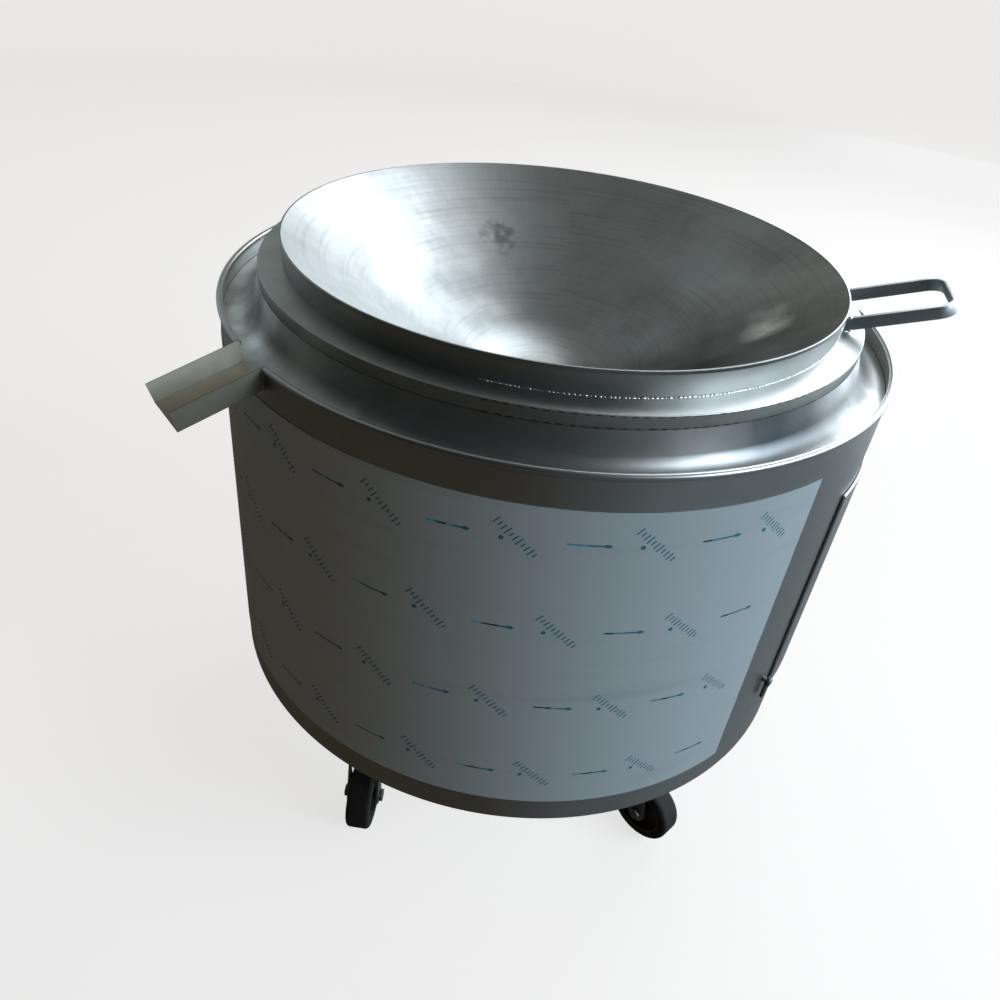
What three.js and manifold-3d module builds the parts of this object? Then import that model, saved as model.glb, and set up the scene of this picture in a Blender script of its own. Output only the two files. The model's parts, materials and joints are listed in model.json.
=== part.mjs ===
// Diesel burner stove: a round steel drum on casters with a welded cooking bowl, an oil gutter round
// it, a drain spout, a lifting handle, and inside a lined fire chamber with a pot burner.
// Millimetres, +Z up. The origin is on the drum's axis, in the plane of its underside.
// Azimuth 0 points along -Y, the side that faces the viewer, and grows towards +X.
import * as THREE from "three";
import { mergeVertices } from "three/addons/utils/BufferGeometryUtils.js";
import Module from "manifold-3d";

const wasm = await Module();
wasm.setup();

// Clearances
const FIT = 0.3;
const OVERRUN = 20;

// Drum
const DRUM_RADIUS = 400;
const DRUM_HEIGHT = 500;
const DRUM_WALL = 2;
const BEAD_RADIUS = 4;
const FLOOR_SHEET = 3;
const JACK_PAD_RADIUS = 120;
const BASE_RING_WIDTH = 64;
const BASE_RING_THICKNESS = 6;

// Gutter round the bowl, from the drum's side in to the collar
const GUTTER_WIDTH = 43.5;
const GUTTER_DEPTH = 23;
const GUTTER_SHEET = 2;
const COVE_RADIUS = 8;
const UPSTAND_HEIGHT = 13;

// Collar that carries the bowl
const COLLAR_RISE = 32.6;
const COLLAR_CROWN = 2.6;
const COLLAR_SHEET = 2;
const COLLAR_LIP = 14;

// Bowl and the band under its rim. The bowl stands in from the collar's lip, the band's foot from its rim.
const BOWL_INSET = 25.1;
const BOWL_RISE = 63.4;
const BOWL_SHEET = 2.5;
const BOWL_RIM_LAND = 3.4;
const BOWL_SIDE_DEG = 34;
const BOWL_FLOOR_SHARE = 0.332;
const BAND_INSET = 2.6;
const BAND_SHEET = 2;

// Drain spout
const SPOUT_AZIMUTH = -47;
const SPOUT_WIDTH = 64;
const SPOUT_HEIGHT = 22;
const SPOUT_SHEET = 2;
const SPOUT_LENGTH = 93;
const SPOUT_FALL_DEG = 15.7;

// Lifting handle
const HANDLE_AZIMUTH = 82;
const HANDLE_SPREAD = 87;
const HANDLE_BAR_HEIGHT = 14;
const HANDLE_BAR_THICKNESS = 6;
const HANDLE_REACH = 112;
const HANDLE_CORNER = 22;
const HANDLE_RISE_DEG = 20;
const HANDLE_ROOT_DROP = 20;

// Fire chamber: its liner stands in from the drum, and its cover hangs below the gutter
const LINER_INSET = 100;
const LINER_WALL = 3;
const COVER_DROP = 37;
const COVER_SHEET = 2;

// Fire door in the side of the drum
const DOOR_AZIMUTH_NEAR = 57;
const DOOR_AZIMUTH_FAR = 103.5;
const DOOR_BOTTOM = 102;
const DOOR_HEAD_ROOM = 38;
const DOOR_SHEET = 3.5;
const DOOR_LAP = 22;
const TUNNEL_SHEET = 2;

// Door hinges
const HINGE_AZIMUTH = 107;
const HINGE_KNUCKLE_RADIUS = 5.5;
const HINGE_PIN_RADIUS = 2.5;
const HINGE_HEIGHT = 48;
const HINGE_LEAF_LENGTH = 46;
const HINGE_LEAF_SHEET = 3;
const HINGE_INSET = 42;
const HINGE_PIN_HEAD = 3;

// Turn catch beside the door
const CATCH_AZIMUTH = 54.2;
const CATCH_LENGTH = 34;
const CATCH_WIDTH = 13;
const CATCH_SHEET = 3;
const CATCH_STUD_RADIUS = 3.5;
const CATCH_HEAD_RADIUS = 6;
const CATCH_HEAD_HEIGHT = 2.5;
const CATCH_RAISE = 26;

// Burner
const PEDESTAL_FOOT_RADIUS = 70;
const PEDESTAL_FOOT_HEIGHT = 8;
const PEDESTAL_WAIST_RADIUS = 28;
const POT_BASE_HEIGHT = 60;
const POT_RADIUS = 85;
const POT_DEPTH = 75;
const POT_WALL = 8;
const POT_LIP = 10;
const FLAME_RING_HEIGHT = 20;
const FLAME_RING_WIDTH = 27;
const FLAME_SLOTS = 18;
const FLAME_SLOT_WIDTH = 6;
const FLAME_SLOT_DEPTH = 13;
const DEFLECTOR_GAP = 12;
const DEFLECTOR_STEM_RADIUS = 8;
const DEFLECTOR_RISE = 37;
const DEFLECTOR_EDGE = 5;
const DEFLECTOR_CONE = 16;

// Air pipe and its damper
const AIR_PIPE_RADIUS = 24;
const AIR_PIPE_WALL = 2;
const AIR_PIPE_RISE = 36;
const AIR_PIPE_OUTREACH = 80;
const AIR_BEAD = 2;
const DAMPER_OUTREACH = 38;
const DAMPER_FLAP_THICKNESS = 2;
const DAMPER_FLAP_GAP = 1;
const DAMPER_SPINDLE_RADIUS = 3;
const DAMPER_SPINDLE_TAIL = 6;
const DAMPER_LEVER_LENGTH = 56;
const DAMPER_LEVER_WIDTH = 12;
const DAMPER_LEVER_SHEET = 3;

// Fuel line with its needle valve
const FUEL_PIPE_RADIUS = 5;
const FUEL_PIPE_BORE = 3;
const FUEL_PIPE_OFFSET = -48;
const FUEL_PIPE_DROP = 19;
const VALVE_OUTREACH = 34;
const VALVE_LENGTH = 34;
const VALVE_WIDTH = 24;
const VALVE_NECK_RADIUS = 8;
const VALVE_NECK_HEIGHT = 12;
const HOSE_TAIL_LENGTH = 26;
const HOSE_TAIL_BARB = 1.2;
const KNOB_RADIUS = 16;
const KNOB_HEIGHT = 14;
const KNOB_LOBES = 8;
const KNOB_LOBE_DEPTH = 1.6;
const KNOB_STEM_RADIUS = 4;

// Flue stub at the back
const FLUE_RADIUS = 50;
const FLUE_WALL = 2;
const FLUE_DROP = 80;
const FLUE_OUTREACH = 62;
const FLUE_FLANGE = 16;

// Legs and swivel casters
const LEG_AZIMUTHS = [-38.5, 51.5, 141.5, 231.5];
const LEG_INSET = 115;
const LEG_LENGTH = 123;
const LEG_WIDTH = 40;
const LEG_WALL = 3;
const CASTER_TRAILS = [0, 50, 200, 120];
const CASTER_TRAIL = 28;
const CASTER_PLATE = 78;
const CASTER_PLATE_CORNER = 8;
const CASTER_PLATE_SHEET = 4;
const RACE_RADIUS = 24;
const RACE_HEIGHT = 11;
const KING_PIN_RADIUS = 6;
const KING_NUT_RADIUS = 10;
const KING_NUT_HEIGHT = 5;
const FORK_SHEET = 4;
const FORK_GAP = 38;
const FORK_TIP_RADIUS = 14;
const FORK_CROWN_RADIUS = 29;
const WHEEL_RADIUS = 50;
const WHEEL_WIDTH = 34;
const TYRE_DEPTH = 12;
const TREAD_CROWN = 4;
const WHEEL_HEAD_ROOM = 8;
const HUB_WEB = 8;
const HUB_RIM = 4;
const HUB_BOSS_RADIUS = 13;
const AXLE_RADIUS = 5;
const AXLE_HEAD_RADIUS = 9;
const AXLE_HEAD_HEIGHT = 5;

// Protective film left on the drum's side
const FILM_THICKNESS = 0.5;
const FILM_TOP_BARE = 41;
const FILM_BOTTOM_BARE = 35;
const FILM_AZIMUTH_START = -150;
const FILM_AZIMUTH_END = 44.8;

// Facets
const SHELL_SEGMENTS = 48;
const PART_SEGMENTS = 24;
const PIPE_SEGMENTS = 16;
const WHEEL_SEGMENTS = 16;
const SMALL_SEGMENTS = 8;
const CORNER_STEPS = 4;
const BEAD_STEPS = 6;
const COVE_STEPS = 3;
const BOWL_FLOOR_STEPS = 4;
const ARC_STEP_DEG = 4;
const HEX_SIDES = 6;
const KNOB_LOBE_STEPS = 6;

// Levels and radii that follow from the sizes above
const rad = THREE.MathUtils.degToRad;
const drumInner = DRUM_RADIUS - DRUM_WALL;
const facetSag = 1 - Math.cos(Math.PI / SHELL_SEGMENTS);
const blockSag = 1 - Math.cos(rad(ARC_STEP_DEG / 2));
const onDrum = (DRUM_RADIUS + FIT) / (1 - blockSag);
const insideDrum = drumInner - FIT;
const floorTop = FLOOR_SHEET;
const gutterTop = DRUM_HEIGHT - GUTTER_DEPTH;
const collarRadius = DRUM_RADIUS - GUTTER_WIDTH;
const bowlRadius = collarRadius - BOWL_INSET;
const bandFootRadius = bowlRadius - BAND_INSET;
const linerRadius = DRUM_RADIUS - LINER_INSET;
const coverHeight = gutterTop - COVER_DROP;
const doorTop = coverHeight - DOOR_HEAD_ROOM;
const flueHeight = coverHeight - FLUE_DROP;
const legCircleRadius = DRUM_RADIUS - LEG_INSET;
const potTop = POT_BASE_HEIGHT + POT_DEPTH;
const flameRingInner = POT_RADIUS - FLAME_RING_WIDTH;
const deflectorRadius = flameRingInner - DEFLECTOR_GAP;
const deflectorTop = potTop + DEFLECTOR_RISE;
const airPipeHeight = POT_BASE_HEIGHT + AIR_PIPE_RISE;
const fuelPipeHeight = potTop - FUEL_PIPE_DROP;
const collarEdgeTop = DRUM_HEIGHT + COLLAR_RISE;
const collarInnerRadius = bandFootRadius + FIT;
const skirtRadius = collarRadius - COLLAR_SHEET - FIT;
const coverTop = coverHeight + COVER_SHEET;
const bowlTop = DRUM_HEIGHT + BOWL_RISE;
const bowlSlope = Math.tan(rad(BOWL_SIDE_DEG));
const bowlMouth = bowlRadius - BOWL_SHEET;
const bowlFloorRadius = bowlRadius * BOWL_FLOOR_SHARE;
const bowlUnder = BOWL_SHEET / Math.cos(rad(BOWL_SIDE_DEG));
const bowlRimUnder =
  bowlTop - (bowlMouth - (bowlRadius - BOWL_RIM_LAND)) * bowlSlope - bowlUnder;
const linerInner = linerRadius - LINER_WALL;
const doorOuter = onDrum + DOOR_SHEET;
const onDoor = (doorOuter + FIT) / (1 - blockSag);
const lapDeg = THREE.MathUtils.radToDeg(DOOR_LAP / DRUM_RADIUS);
const tunnelNear = DOOR_AZIMUTH_NEAR + lapDeg;
const tunnelFar = DOOR_AZIMUTH_FAR - lapDeg;
const tunnelBottom = DOOR_BOTTOM + DOOR_LAP;
const tunnelTop = doorTop - DOOR_LAP;
const legTop = -BASE_RING_THICKNESS - 2 * FIT;
const legBottom = legTop - LEG_LENGTH;
const plateTop = legBottom - FIT;
const raceTop = plateTop - CASTER_PLATE_SHEET;
const raceBottom = raceTop - RACE_HEIGHT;
const crownTop = raceBottom - FIT;
const crownBottom = crownTop - FORK_SHEET;
const kingNutBottom = crownBottom - FIT - KING_NUT_HEIGHT;
const axleHeight = kingNutBottom - WHEEL_HEAD_ROOM - WHEEL_RADIUS;

// Materials: colour, roughness and metalness of each finish
const brushedSteel = finish(0xaeb4b4, 0.38, 1);
const polishedSteel = finish(0xc4c9c8, 0.25, 1);
const darkSteel = finish(0x4c5154, 0.5, 0.9);
const castIron = finish(0x2c2c2c, 0.75, 0.6);
const blackPaint = finish(0x1e2022, 0.55, 0.1);
const filmPlastic = finish(0x8a9ba0, 0.35, 0);
const blanket = finish(0xe6e0cf, 0.95, 0);
const rubber = finish(0x1a1b1c, 0.85, 0);
const zinc = finish(0x8e9496, 0.45, 0.9);
const brass = finish(0xb08d45, 0.35, 1);
const knobPlastic = finish(0x151515, 0.45, 0);

const stove = new THREE.Group();

function finish(color, roughness, metalness) {
  return new THREE.MeshStandardMaterial({ color, roughness, metalness });
}

// Adds one named piece to a group.
function piece(name, geometry, material, parent = stove) {
  const mesh = new THREE.Mesh(geometry, material);
  mesh.name = name;
  parent.add(mesh);
  return mesh;
}

// A closed mesh as a solid that can be cut and joined.
function solidOf(geometry) {
  const bare = geometry.index ? geometry.toNonIndexed() : geometry.clone();
  bare.deleteAttribute("normal");
  bare.deleteAttribute("uv");
  const merged = mergeVertices(bare);
  const corners = merged.index.array;
  const kept = [];
  for (let i = 0; i < corners.length; i += 3) {
    const [a, b, c] = corners.subarray(i, i + 3);
    if (a !== b && b !== c && c !== a) kept.push(a, b, c);
  }
  return new wasm.Manifold(
    new wasm.Mesh({
      numProp: 3,
      vertProperties: merged.attributes.position.array,
      triVerts: new Uint32Array(kept),
    }),
  );
}

function geometryOf(solid) {
  const mesh = solid.getMesh();
  const geometry = new THREE.BufferGeometry();
  geometry.setAttribute(
    "position",
    new THREE.BufferAttribute(mesh.vertProperties, mesh.numProp),
  );
  geometry.setIndex(new THREE.BufferAttribute(mesh.triVerts, 1));
  geometry.computeVertexNormals();
  return geometry;
}

function cut(geometry, ...cutters) {
  let solid = solidOf(geometry);
  for (const cutter of cutters) solid = solid.subtract(solidOf(cutter));
  return geometryOf(solid);
}

function join(...geometries) {
  let solid = solidOf(geometries[0]);
  for (const other of geometries.slice(1)) solid = solid.add(solidOf(other));
  return geometryOf(solid);
}

// Turns a profile of [radius, height] corners, anticlockwise, about the Z axis.
// Azimuth 0 is a facet corner.
function revolve(profile, segments = SHELL_SEGMENTS) {
  const closed = profile[0][0] > 0 || profile.at(-1)[0] > 0;
  const corners = closed ? [...profile, profile[0]] : profile;
  const points = corners.map(([r, z]) => new THREE.Vector2(r, z));
  return new THREE.LatheGeometry(points, segments).rotateX(Math.PI / 2);
}

function tube(outer, inner, bottom, top, segments = SHELL_SEGMENTS) {
  return revolve(
    [
      [inner, bottom],
      [outer, bottom],
      [outer, top],
      [inner, top],
    ],
    segments,
  );
}

function rod(radius, bottom, top, segments = SMALL_SEGMENTS) {
  return revolve(
    [
      [0, bottom],
      [radius, bottom],
      [radius, top],
      [0, top],
    ],
    segments,
  );
}

// A hole for a round pin: its flats clear the pin at any turn.
function boreFor(pinRadius, bottom, top, segments = SMALL_SEGMENTS) {
  return rod((pinRadius + FIT) / Math.cos(Math.PI / segments), bottom, top, segments);
}

// Points on an arc in a profile, from one angle to another, both ends included.
function arc(r, z, radius, fromDeg, toDeg, steps) {
  return Array.from({ length: steps + 1 }, (_, i) => {
    const a = rad(THREE.MathUtils.lerp(fromDeg, toDeg, i / steps));
    return [r + radius * Math.cos(a), z + radius * Math.sin(a)];
  });
}

// The place at a radius, azimuth and height.
function place(radius, azimuth, z) {
  const a = rad(azimuth);
  return new THREE.Vector3(radius * Math.sin(a), -radius * Math.cos(a), z);
}

// A block of wall between two radii, two azimuths and two heights.
function wallBlock(inner, outer, nearAzimuth, farAzimuth, bottom, top) {
  const steps = Math.max(1, Math.ceil((farAzimuth - nearAzimuth) / ARC_STEP_DEG));
  const at = (radius, i) => {
    const p = place(radius, THREE.MathUtils.lerp(nearAzimuth, farAzimuth, i / steps), 0);
    return new THREE.Vector2(p.x, p.y);
  };
  const outline = [];
  for (let i = 0; i <= steps; i++) outline.push(at(outer, i));
  for (let i = steps; i >= 0; i--) outline.push(at(inner, i));
  return extrude(new THREE.Shape(outline), bottom, top);
}

function extrude(shape, bottom, top) {
  const options = { depth: top - bottom, bevelEnabled: false, curveSegments: CORNER_STEPS };
  return new THREE.ExtrudeGeometry(shape, options).translate(0, 0, bottom);
}

// A box between two corners.
function box(x0, x1, y0, y1, z0, z1) {
  return new THREE.BoxGeometry(x1 - x0, y1 - y0, z1 - z0).translate(
    (x0 + x1) / 2,
    (y0 + y1) / 2,
    (z0 + z1) / 2,
  );
}

// Turns a geometry that lies along Z so that it points along +Y, at a place.
function alongY(geometry, x, z) {
  return geometry.rotateX(-Math.PI / 2).translate(x, 0, z);
}

function roundedRectangle(width, depth, corner) {
  const x = width / 2;
  const y = depth / 2;
  const shape = new THREE.Shape();
  shape.moveTo(x, -y + corner);
  shape.absarc(x - corner, y - corner, corner, 0, Math.PI / 2);
  shape.absarc(-x + corner, y - corner, corner, Math.PI / 2, Math.PI);
  shape.absarc(-x + corner, -y + corner, corner, Math.PI, 1.5 * Math.PI);
  shape.absarc(x - corner, -y + corner, corner, 1.5 * Math.PI, 2 * Math.PI);
  return shape;
}

// Cutters that several pieces share
function airPipeCutter() {
  const long = DRUM_RADIUS + OVERRUN;
  return alongY(rod(AIR_PIPE_RADIUS + FIT, linerRadius / 2, long, PIPE_SEGMENTS), 0, airPipeHeight);
}

function fuelPipeCutter() {
  const long = DRUM_RADIUS + OVERRUN;
  return alongY(
    rod(FUEL_PIPE_RADIUS + FIT, linerRadius / 2, long),
    FUEL_PIPE_OFFSET,
    fuelPipeHeight,
  );
}

function flueCutter() {
  const long = DRUM_RADIUS + OVERRUN;
  return alongY(rod(FLUE_RADIUS + FIT, linerRadius / 2, long, PIPE_SEGMENTS), 0, flueHeight);
}

function tunnelCutter(grow) {
  const growDeg = THREE.MathUtils.radToDeg(grow / linerRadius);
  return wallBlock(
    linerRadius / 2,
    DRUM_RADIUS + OVERRUN,
    tunnelNear - growDeg,
    tunnelFar + growDeg,
    tunnelBottom - grow,
    tunnelTop + grow,
  );
}

// The spout's channel lies along +X before it is tilted and turned to its azimuth.
// Its floor starts at the drum's inner wall, level with the gutter.
function spoutPlace(geometry) {
  return geometry
    .rotateY(rad(SPOUT_FALL_DEG))
    .translate(insideDrum, 0, gutterTop)
    .rotateZ(rad(SPOUT_AZIMUTH - 90));
}

function spoutBody(grow, bottom, top) {
  const half = SPOUT_WIDTH / 2 + grow;
  return spoutPlace(box(-OVERRUN, SPOUT_LENGTH, -half, half, bottom, top));
}

function drumShell() {
  const beadR = DRUM_RADIUS - DRUM_WALL / 2;
  const beadZ = DRUM_HEIGHT - BEAD_RADIUS;
  const mouth = THREE.MathUtils.radToDeg(Math.asin(DRUM_WALL / 2 / BEAD_RADIUS));
  const wall = revolve([
    [drumInner, 0],
    [DRUM_RADIUS, 0],
    ...arc(beadR, beadZ, BEAD_RADIUS, mouth - 90, 270 - mouth, BEAD_STEPS),
  ]);
  const notchBottom = -SPOUT_SHEET - FIT;
  return cut(
    wall,
    tunnelCutter(0),
    airPipeCutter(),
    fuelPipeCutter(),
    flueCutter(),
    spoutBody(FIT, notchBottom, SPOUT_HEIGHT + OVERRUN),
  );
}

// The floor sheet, with a flat round for a jack's pad in its middle, and the ring that carries the legs
function drumBase() {
  const floorRadius = insideDrum - FIT;
  piece(
    "drum_floor",
    revolve([
      [0, 0],
      [JACK_PAD_RADIUS, 0],
      [floorRadius, 0],
      [floorRadius, floorTop],
      [0, floorTop],
    ]),
    zinc,
  );
  const half = BASE_RING_WIDTH / 2;
  piece(
    "base_ring",
    tube(legCircleRadius + half, legCircleRadius - half, -BASE_RING_THICKNESS - FIT, -FIT),
    blackPaint,
  );
}

function gutterFloor() {
  const wallR = skirtRadius + FIT;
  const bendR = wallR + GUTTER_SHEET + COVE_RADIUS;
  const bendZ = gutterTop + COVE_RADIUS;
  const top = gutterTop + UPSTAND_HEIGHT;
  return revolve([
    ...arc(bendR, bendZ, COVE_RADIUS + GUTTER_SHEET, 180, 270, COVE_STEPS),
    [insideDrum - FIT, gutterTop - GUTTER_SHEET],
    [insideDrum - FIT, gutterTop],
    ...arc(bendR, bendZ, COVE_RADIUS, 270, 180, COVE_STEPS),
    [wallR + GUTTER_SHEET, top],
    [wallR, top],
  ]);
}

function collarHeight(radius) {
  const share = (collarRadius - radius) / (collarRadius - bandFootRadius);
  return collarEdgeTop + COLLAR_CROWN * share;
}

function collarRing() {
  const lipInner = collarRadius - COLLAR_SHEET;
  const lipBottom = collarEdgeTop - COLLAR_LIP;
  return revolve([
    [collarInnerRadius, collarHeight(collarInnerRadius) - COLLAR_SHEET],
    [lipInner, collarHeight(lipInner) - COLLAR_SHEET],
    [lipInner, lipBottom],
    [collarRadius, lipBottom],
    [collarRadius, collarEdgeTop],
    [collarInnerRadius, collarHeight(collarInnerRadius)],
  ]);
}

function bowlBand() {
  const foot = collarHeight(bandFootRadius) - COLLAR_SHEET;
  const top = bowlRimUnder - FIT;
  return revolve([
    [bandFootRadius - BAND_SHEET, foot],
    [bandFootRadius, foot],
    [bowlRadius, top],
    [bowlRadius - BAND_SHEET, top],
  ]);
}

// A straight cone from the rim down to a round floor that it meets without a crease.
function bowlProfile() {
  const floorRadius = bowlFloorRadius / Math.sin(rad(BOWL_SIDE_DEG));
  const coneFoot = bowlTop - (bowlMouth - bowlFloorRadius) * bowlSlope;
  const centre = coneFoot + floorRadius * Math.cos(rad(BOWL_SIDE_DEG));
  const side = BOWL_SIDE_DEG - 90;
  const under = arc(0, centre, floorRadius + BOWL_SHEET, -90, side, BOWL_FLOOR_STEPS);
  const inside = arc(0, centre, floorRadius, side, -90, BOWL_FLOOR_STEPS);
  return [
    [0, under[0][1]],
    ...under.slice(1),
    [bowlRadius - BOWL_RIM_LAND, bowlRimUnder],
    [bowlRadius, bowlRimUnder],
    [bowlRadius, bowlTop],
    [bowlMouth, bowlTop],
    ...inside.slice(0, -1),
    [0, inside.at(-1)[1]],
  ];
}

function drainSpout() {
  const half = SPOUT_WIDTH / 2;
  const bore = half - SPOUT_SHEET;
  const channel = spoutBody(0, -SPOUT_SHEET, SPOUT_HEIGHT);
  const hollow = spoutPlace(
    box(-2 * OVERRUN, SPOUT_LENGTH + OVERRUN, -bore, bore, 0, SPOUT_HEIGHT + OVERRUN),
  );
  const inside = rod(insideDrum, 0, DRUM_HEIGHT + OVERRUN, SHELL_SEGMENTS);
  return cut(channel, hollow, inside);
}

// One flat bar bent to a U, on edge, rising outwards from the band under the bowl's rim.
function liftingHandle() {
  const outer = HANDLE_SPREAD / 2 + HANDLE_BAR_THICKNESS / 2;
  const inner = HANDLE_SPREAD / 2 - HANDLE_BAR_THICKNESS / 2;
  const root = -OVERRUN;
  const end = HANDLE_REACH;
  const bend = HANDLE_CORNER - HANDLE_BAR_THICKNESS;
  const bar = new THREE.Shape();
  bar.moveTo(root, -outer);
  bar.absarc(end - HANDLE_CORNER, -outer + HANDLE_CORNER, HANDLE_CORNER, -Math.PI / 2, 0);
  bar.absarc(end - HANDLE_CORNER, outer - HANDLE_CORNER, HANDLE_CORNER, 0, Math.PI / 2);
  bar.lineTo(root, outer);
  bar.lineTo(root, inner);
  bar.absarc(end - HANDLE_CORNER, inner - bend, bend, Math.PI / 2, 0, true);
  bar.absarc(end - HANDLE_CORNER, -inner + bend, bend, 0, -Math.PI / 2, true);
  bar.lineTo(root, -inner);
  const flat = extrude(bar, -HANDLE_BAR_HEIGHT / 2, HANDLE_BAR_HEIGHT / 2)
    .rotateY(-rad(HANDLE_RISE_DEG))
    .translate(bowlRadius, 0, bowlTop - HANDLE_ROOT_DROP)
    .rotateZ(rad(HANDLE_AZIMUTH - 90));
  const inside = rod(bowlRadius + FIT, DRUM_HEIGHT, bowlTop + OVERRUN, SHELL_SEGMENTS);
  return cut(flat, inside);
}

function chamberPieces() {
  const linerTop = coverHeight - FIT;
  const bottom = floorTop + FIT;
  piece(
    "fire_liner",
    cut(
      tube(linerRadius, linerInner, bottom, linerTop),
      tunnelCutter(0),
      airPipeCutter(),
      fuelPipeCutter(),
      flueCutter(),
    ),
    darkSteel,
  );
  piece(
    "insulation_blanket",
    cut(
      tube(insideDrum - FIT, linerRadius + FIT, bottom, linerTop),
      tunnelCutter(TUNNEL_SHEET + FIT),
      airPipeCutter(),
      fuelPipeCutter(),
      flueCutter(),
    ),
    blanket,
  );
  piece("insulation_cover", tube(insideDrum - FIT, linerInner, coverHeight, coverTop), zinc);
  const growDeg = THREE.MathUtils.radToDeg(TUNNEL_SHEET / linerRadius);
  const frameBlock = wallBlock(
    linerRadius + FIT + linerRadius * facetSag,
    insideDrum - DRUM_RADIUS * facetSag,
    tunnelNear - growDeg,
    tunnelFar + growDeg,
    tunnelBottom - TUNNEL_SHEET,
    tunnelTop + TUNNEL_SHEET,
  );
  piece("door_tunnel", cut(frameBlock, tunnelCutter(0)), darkSteel);
}

// The hinge axis and the door's pieces about it
function hingePieces() {
  const knuckleCentre = onDrum + HINGE_LEAF_SHEET / 2 + HINGE_KNUCKLE_RADIUS;
  const axis = place(knuckleCentre, HINGE_AZIMUTH, 0);
  const leafDeg = THREE.MathUtils.radToDeg(HINGE_LEAF_LENGTH / DRUM_RADIUS);
  const clearDeg = THREE.MathUtils.radToDeg((HINGE_KNUCKLE_RADIUS + FIT) / DRUM_RADIUS);
  const third = HINGE_HEIGHT / 3;
  const fixedOuter = onDrum + HINGE_LEAF_SHEET;
  const movingOuter = onDoor + HINGE_LEAF_SHEET;
  const bore = boreFor(HINGE_PIN_RADIUS, -OVERRUN, HINGE_HEIGHT + OVERRUN);
  const knuckle = (from, to) => rod(HINGE_KNUCKLE_RADIUS, from + FIT, to - FIT);
  const centreLine = (g, z) => g.translate(axis.x, axis.y, z);
  const levels = [DOOR_BOTTOM + HINGE_INSET, doorTop - HINGE_INSET - HINGE_HEIGHT];
  levels.forEach((z, i) => {
    const fixedLeaf = join(
      wallBlock(
        onDrum,
        fixedOuter,
        HINGE_AZIMUTH + clearDeg,
        HINGE_AZIMUTH + leafDeg,
        z,
        z + HINGE_HEIGHT,
      ),
      ...[0, 2].flatMap((n) => [
        wallBlock(
          onDrum,
          fixedOuter,
          HINGE_AZIMUTH,
          HINGE_AZIMUTH + leafDeg / 2,
          z + n * third + FIT,
          z + (n + 1) * third - FIT,
        ),
        centreLine(knuckle(n * third, (n + 1) * third), z),
      ]),
    );
    piece(`hinge_leaf_fixed_${i + 1}`, cut(fixedLeaf, centreLine(bore.clone(), z)), zinc);
    const movingLeaf = join(
      wallBlock(
        onDoor,
        movingOuter,
        HINGE_AZIMUTH - leafDeg,
        HINGE_AZIMUTH - clearDeg,
        z,
        z + HINGE_HEIGHT,
      ),
      wallBlock(
        onDoor,
        movingOuter,
        HINGE_AZIMUTH - leafDeg / 2,
        HINGE_AZIMUTH,
        z + third + FIT,
        z + 2 * third - FIT,
      ),
      centreLine(knuckle(third, 2 * third), z),
    );
    piece(`hinge_leaf_door_${i + 1}`, cut(movingLeaf, centreLine(bore.clone(), z)), zinc);
    const pin = revolve(
      [
        [0, -HINGE_PIN_HEAD],
        [HINGE_KNUCKLE_RADIUS, -HINGE_PIN_HEAD],
        [HINGE_KNUCKLE_RADIUS, 0],
        [HINGE_PIN_RADIUS, 0],
        [HINGE_PIN_RADIUS, HINGE_HEIGHT],
        [HINGE_KNUCKLE_RADIUS, HINGE_HEIGHT],
        [HINGE_KNUCKLE_RADIUS, HINGE_HEIGHT + HINGE_PIN_HEAD],
        [0, HINGE_HEIGHT + HINGE_PIN_HEAD],
      ],
      SMALL_SEGMENTS,
    );
    piece(`hinge_pin_${i + 1}`, centreLine(pin, z), zinc);
  });
}

function fireDoor() {
  const panel = wallBlock(
    onDrum,
    doorOuter,
    DOOR_AZIMUTH_NEAR,
    DOOR_AZIMUTH_FAR,
    DOOR_BOTTOM,
    doorTop,
  );
  piece("fire_door", panel, brushedSteel);
}

function doorCatch() {
  const seat = DRUM_RADIUS + FIT;
  const under = doorOuter + FIT + FIT;
  const studTop = under + CATCH_SHEET + FIT;
  const turn = new THREE.Group();
  turn.position.copy(place(0, 0, DOOR_BOTTOM + CATCH_RAISE));
  turn.rotation.z = rad(CATCH_AZIMUTH - 90);
  stove.add(turn);
  const pointOut = (g) => g.rotateY(Math.PI / 2);
  const stud = revolve(
    [
      [0, seat],
      [CATCH_STUD_RADIUS, seat],
      [CATCH_STUD_RADIUS, studTop],
      [CATCH_HEAD_RADIUS, studTop],
      [CATCH_HEAD_RADIUS, studTop + CATCH_HEAD_HEIGHT],
      [0, studTop + CATCH_HEAD_HEIGHT],
    ],
    SMALL_SEGMENTS,
  );
  piece("catch_stud", pointOut(stud), zinc, turn);
  const arm = roundedRectangle(CATCH_LENGTH, CATCH_WIDTH, CATCH_WIDTH / 2 - FIT);
  const plate = extrude(arm, under, under + CATCH_SHEET).translate(
    CATCH_LENGTH / 2 - CATCH_WIDTH / 2,
    0,
    0,
  );
  const drilled = cut(plate, boreFor(CATCH_STUD_RADIUS, 0, studTop + OVERRUN));
  piece("door_catch", pointOut(drilled), blackPaint, turn);
}

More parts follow.
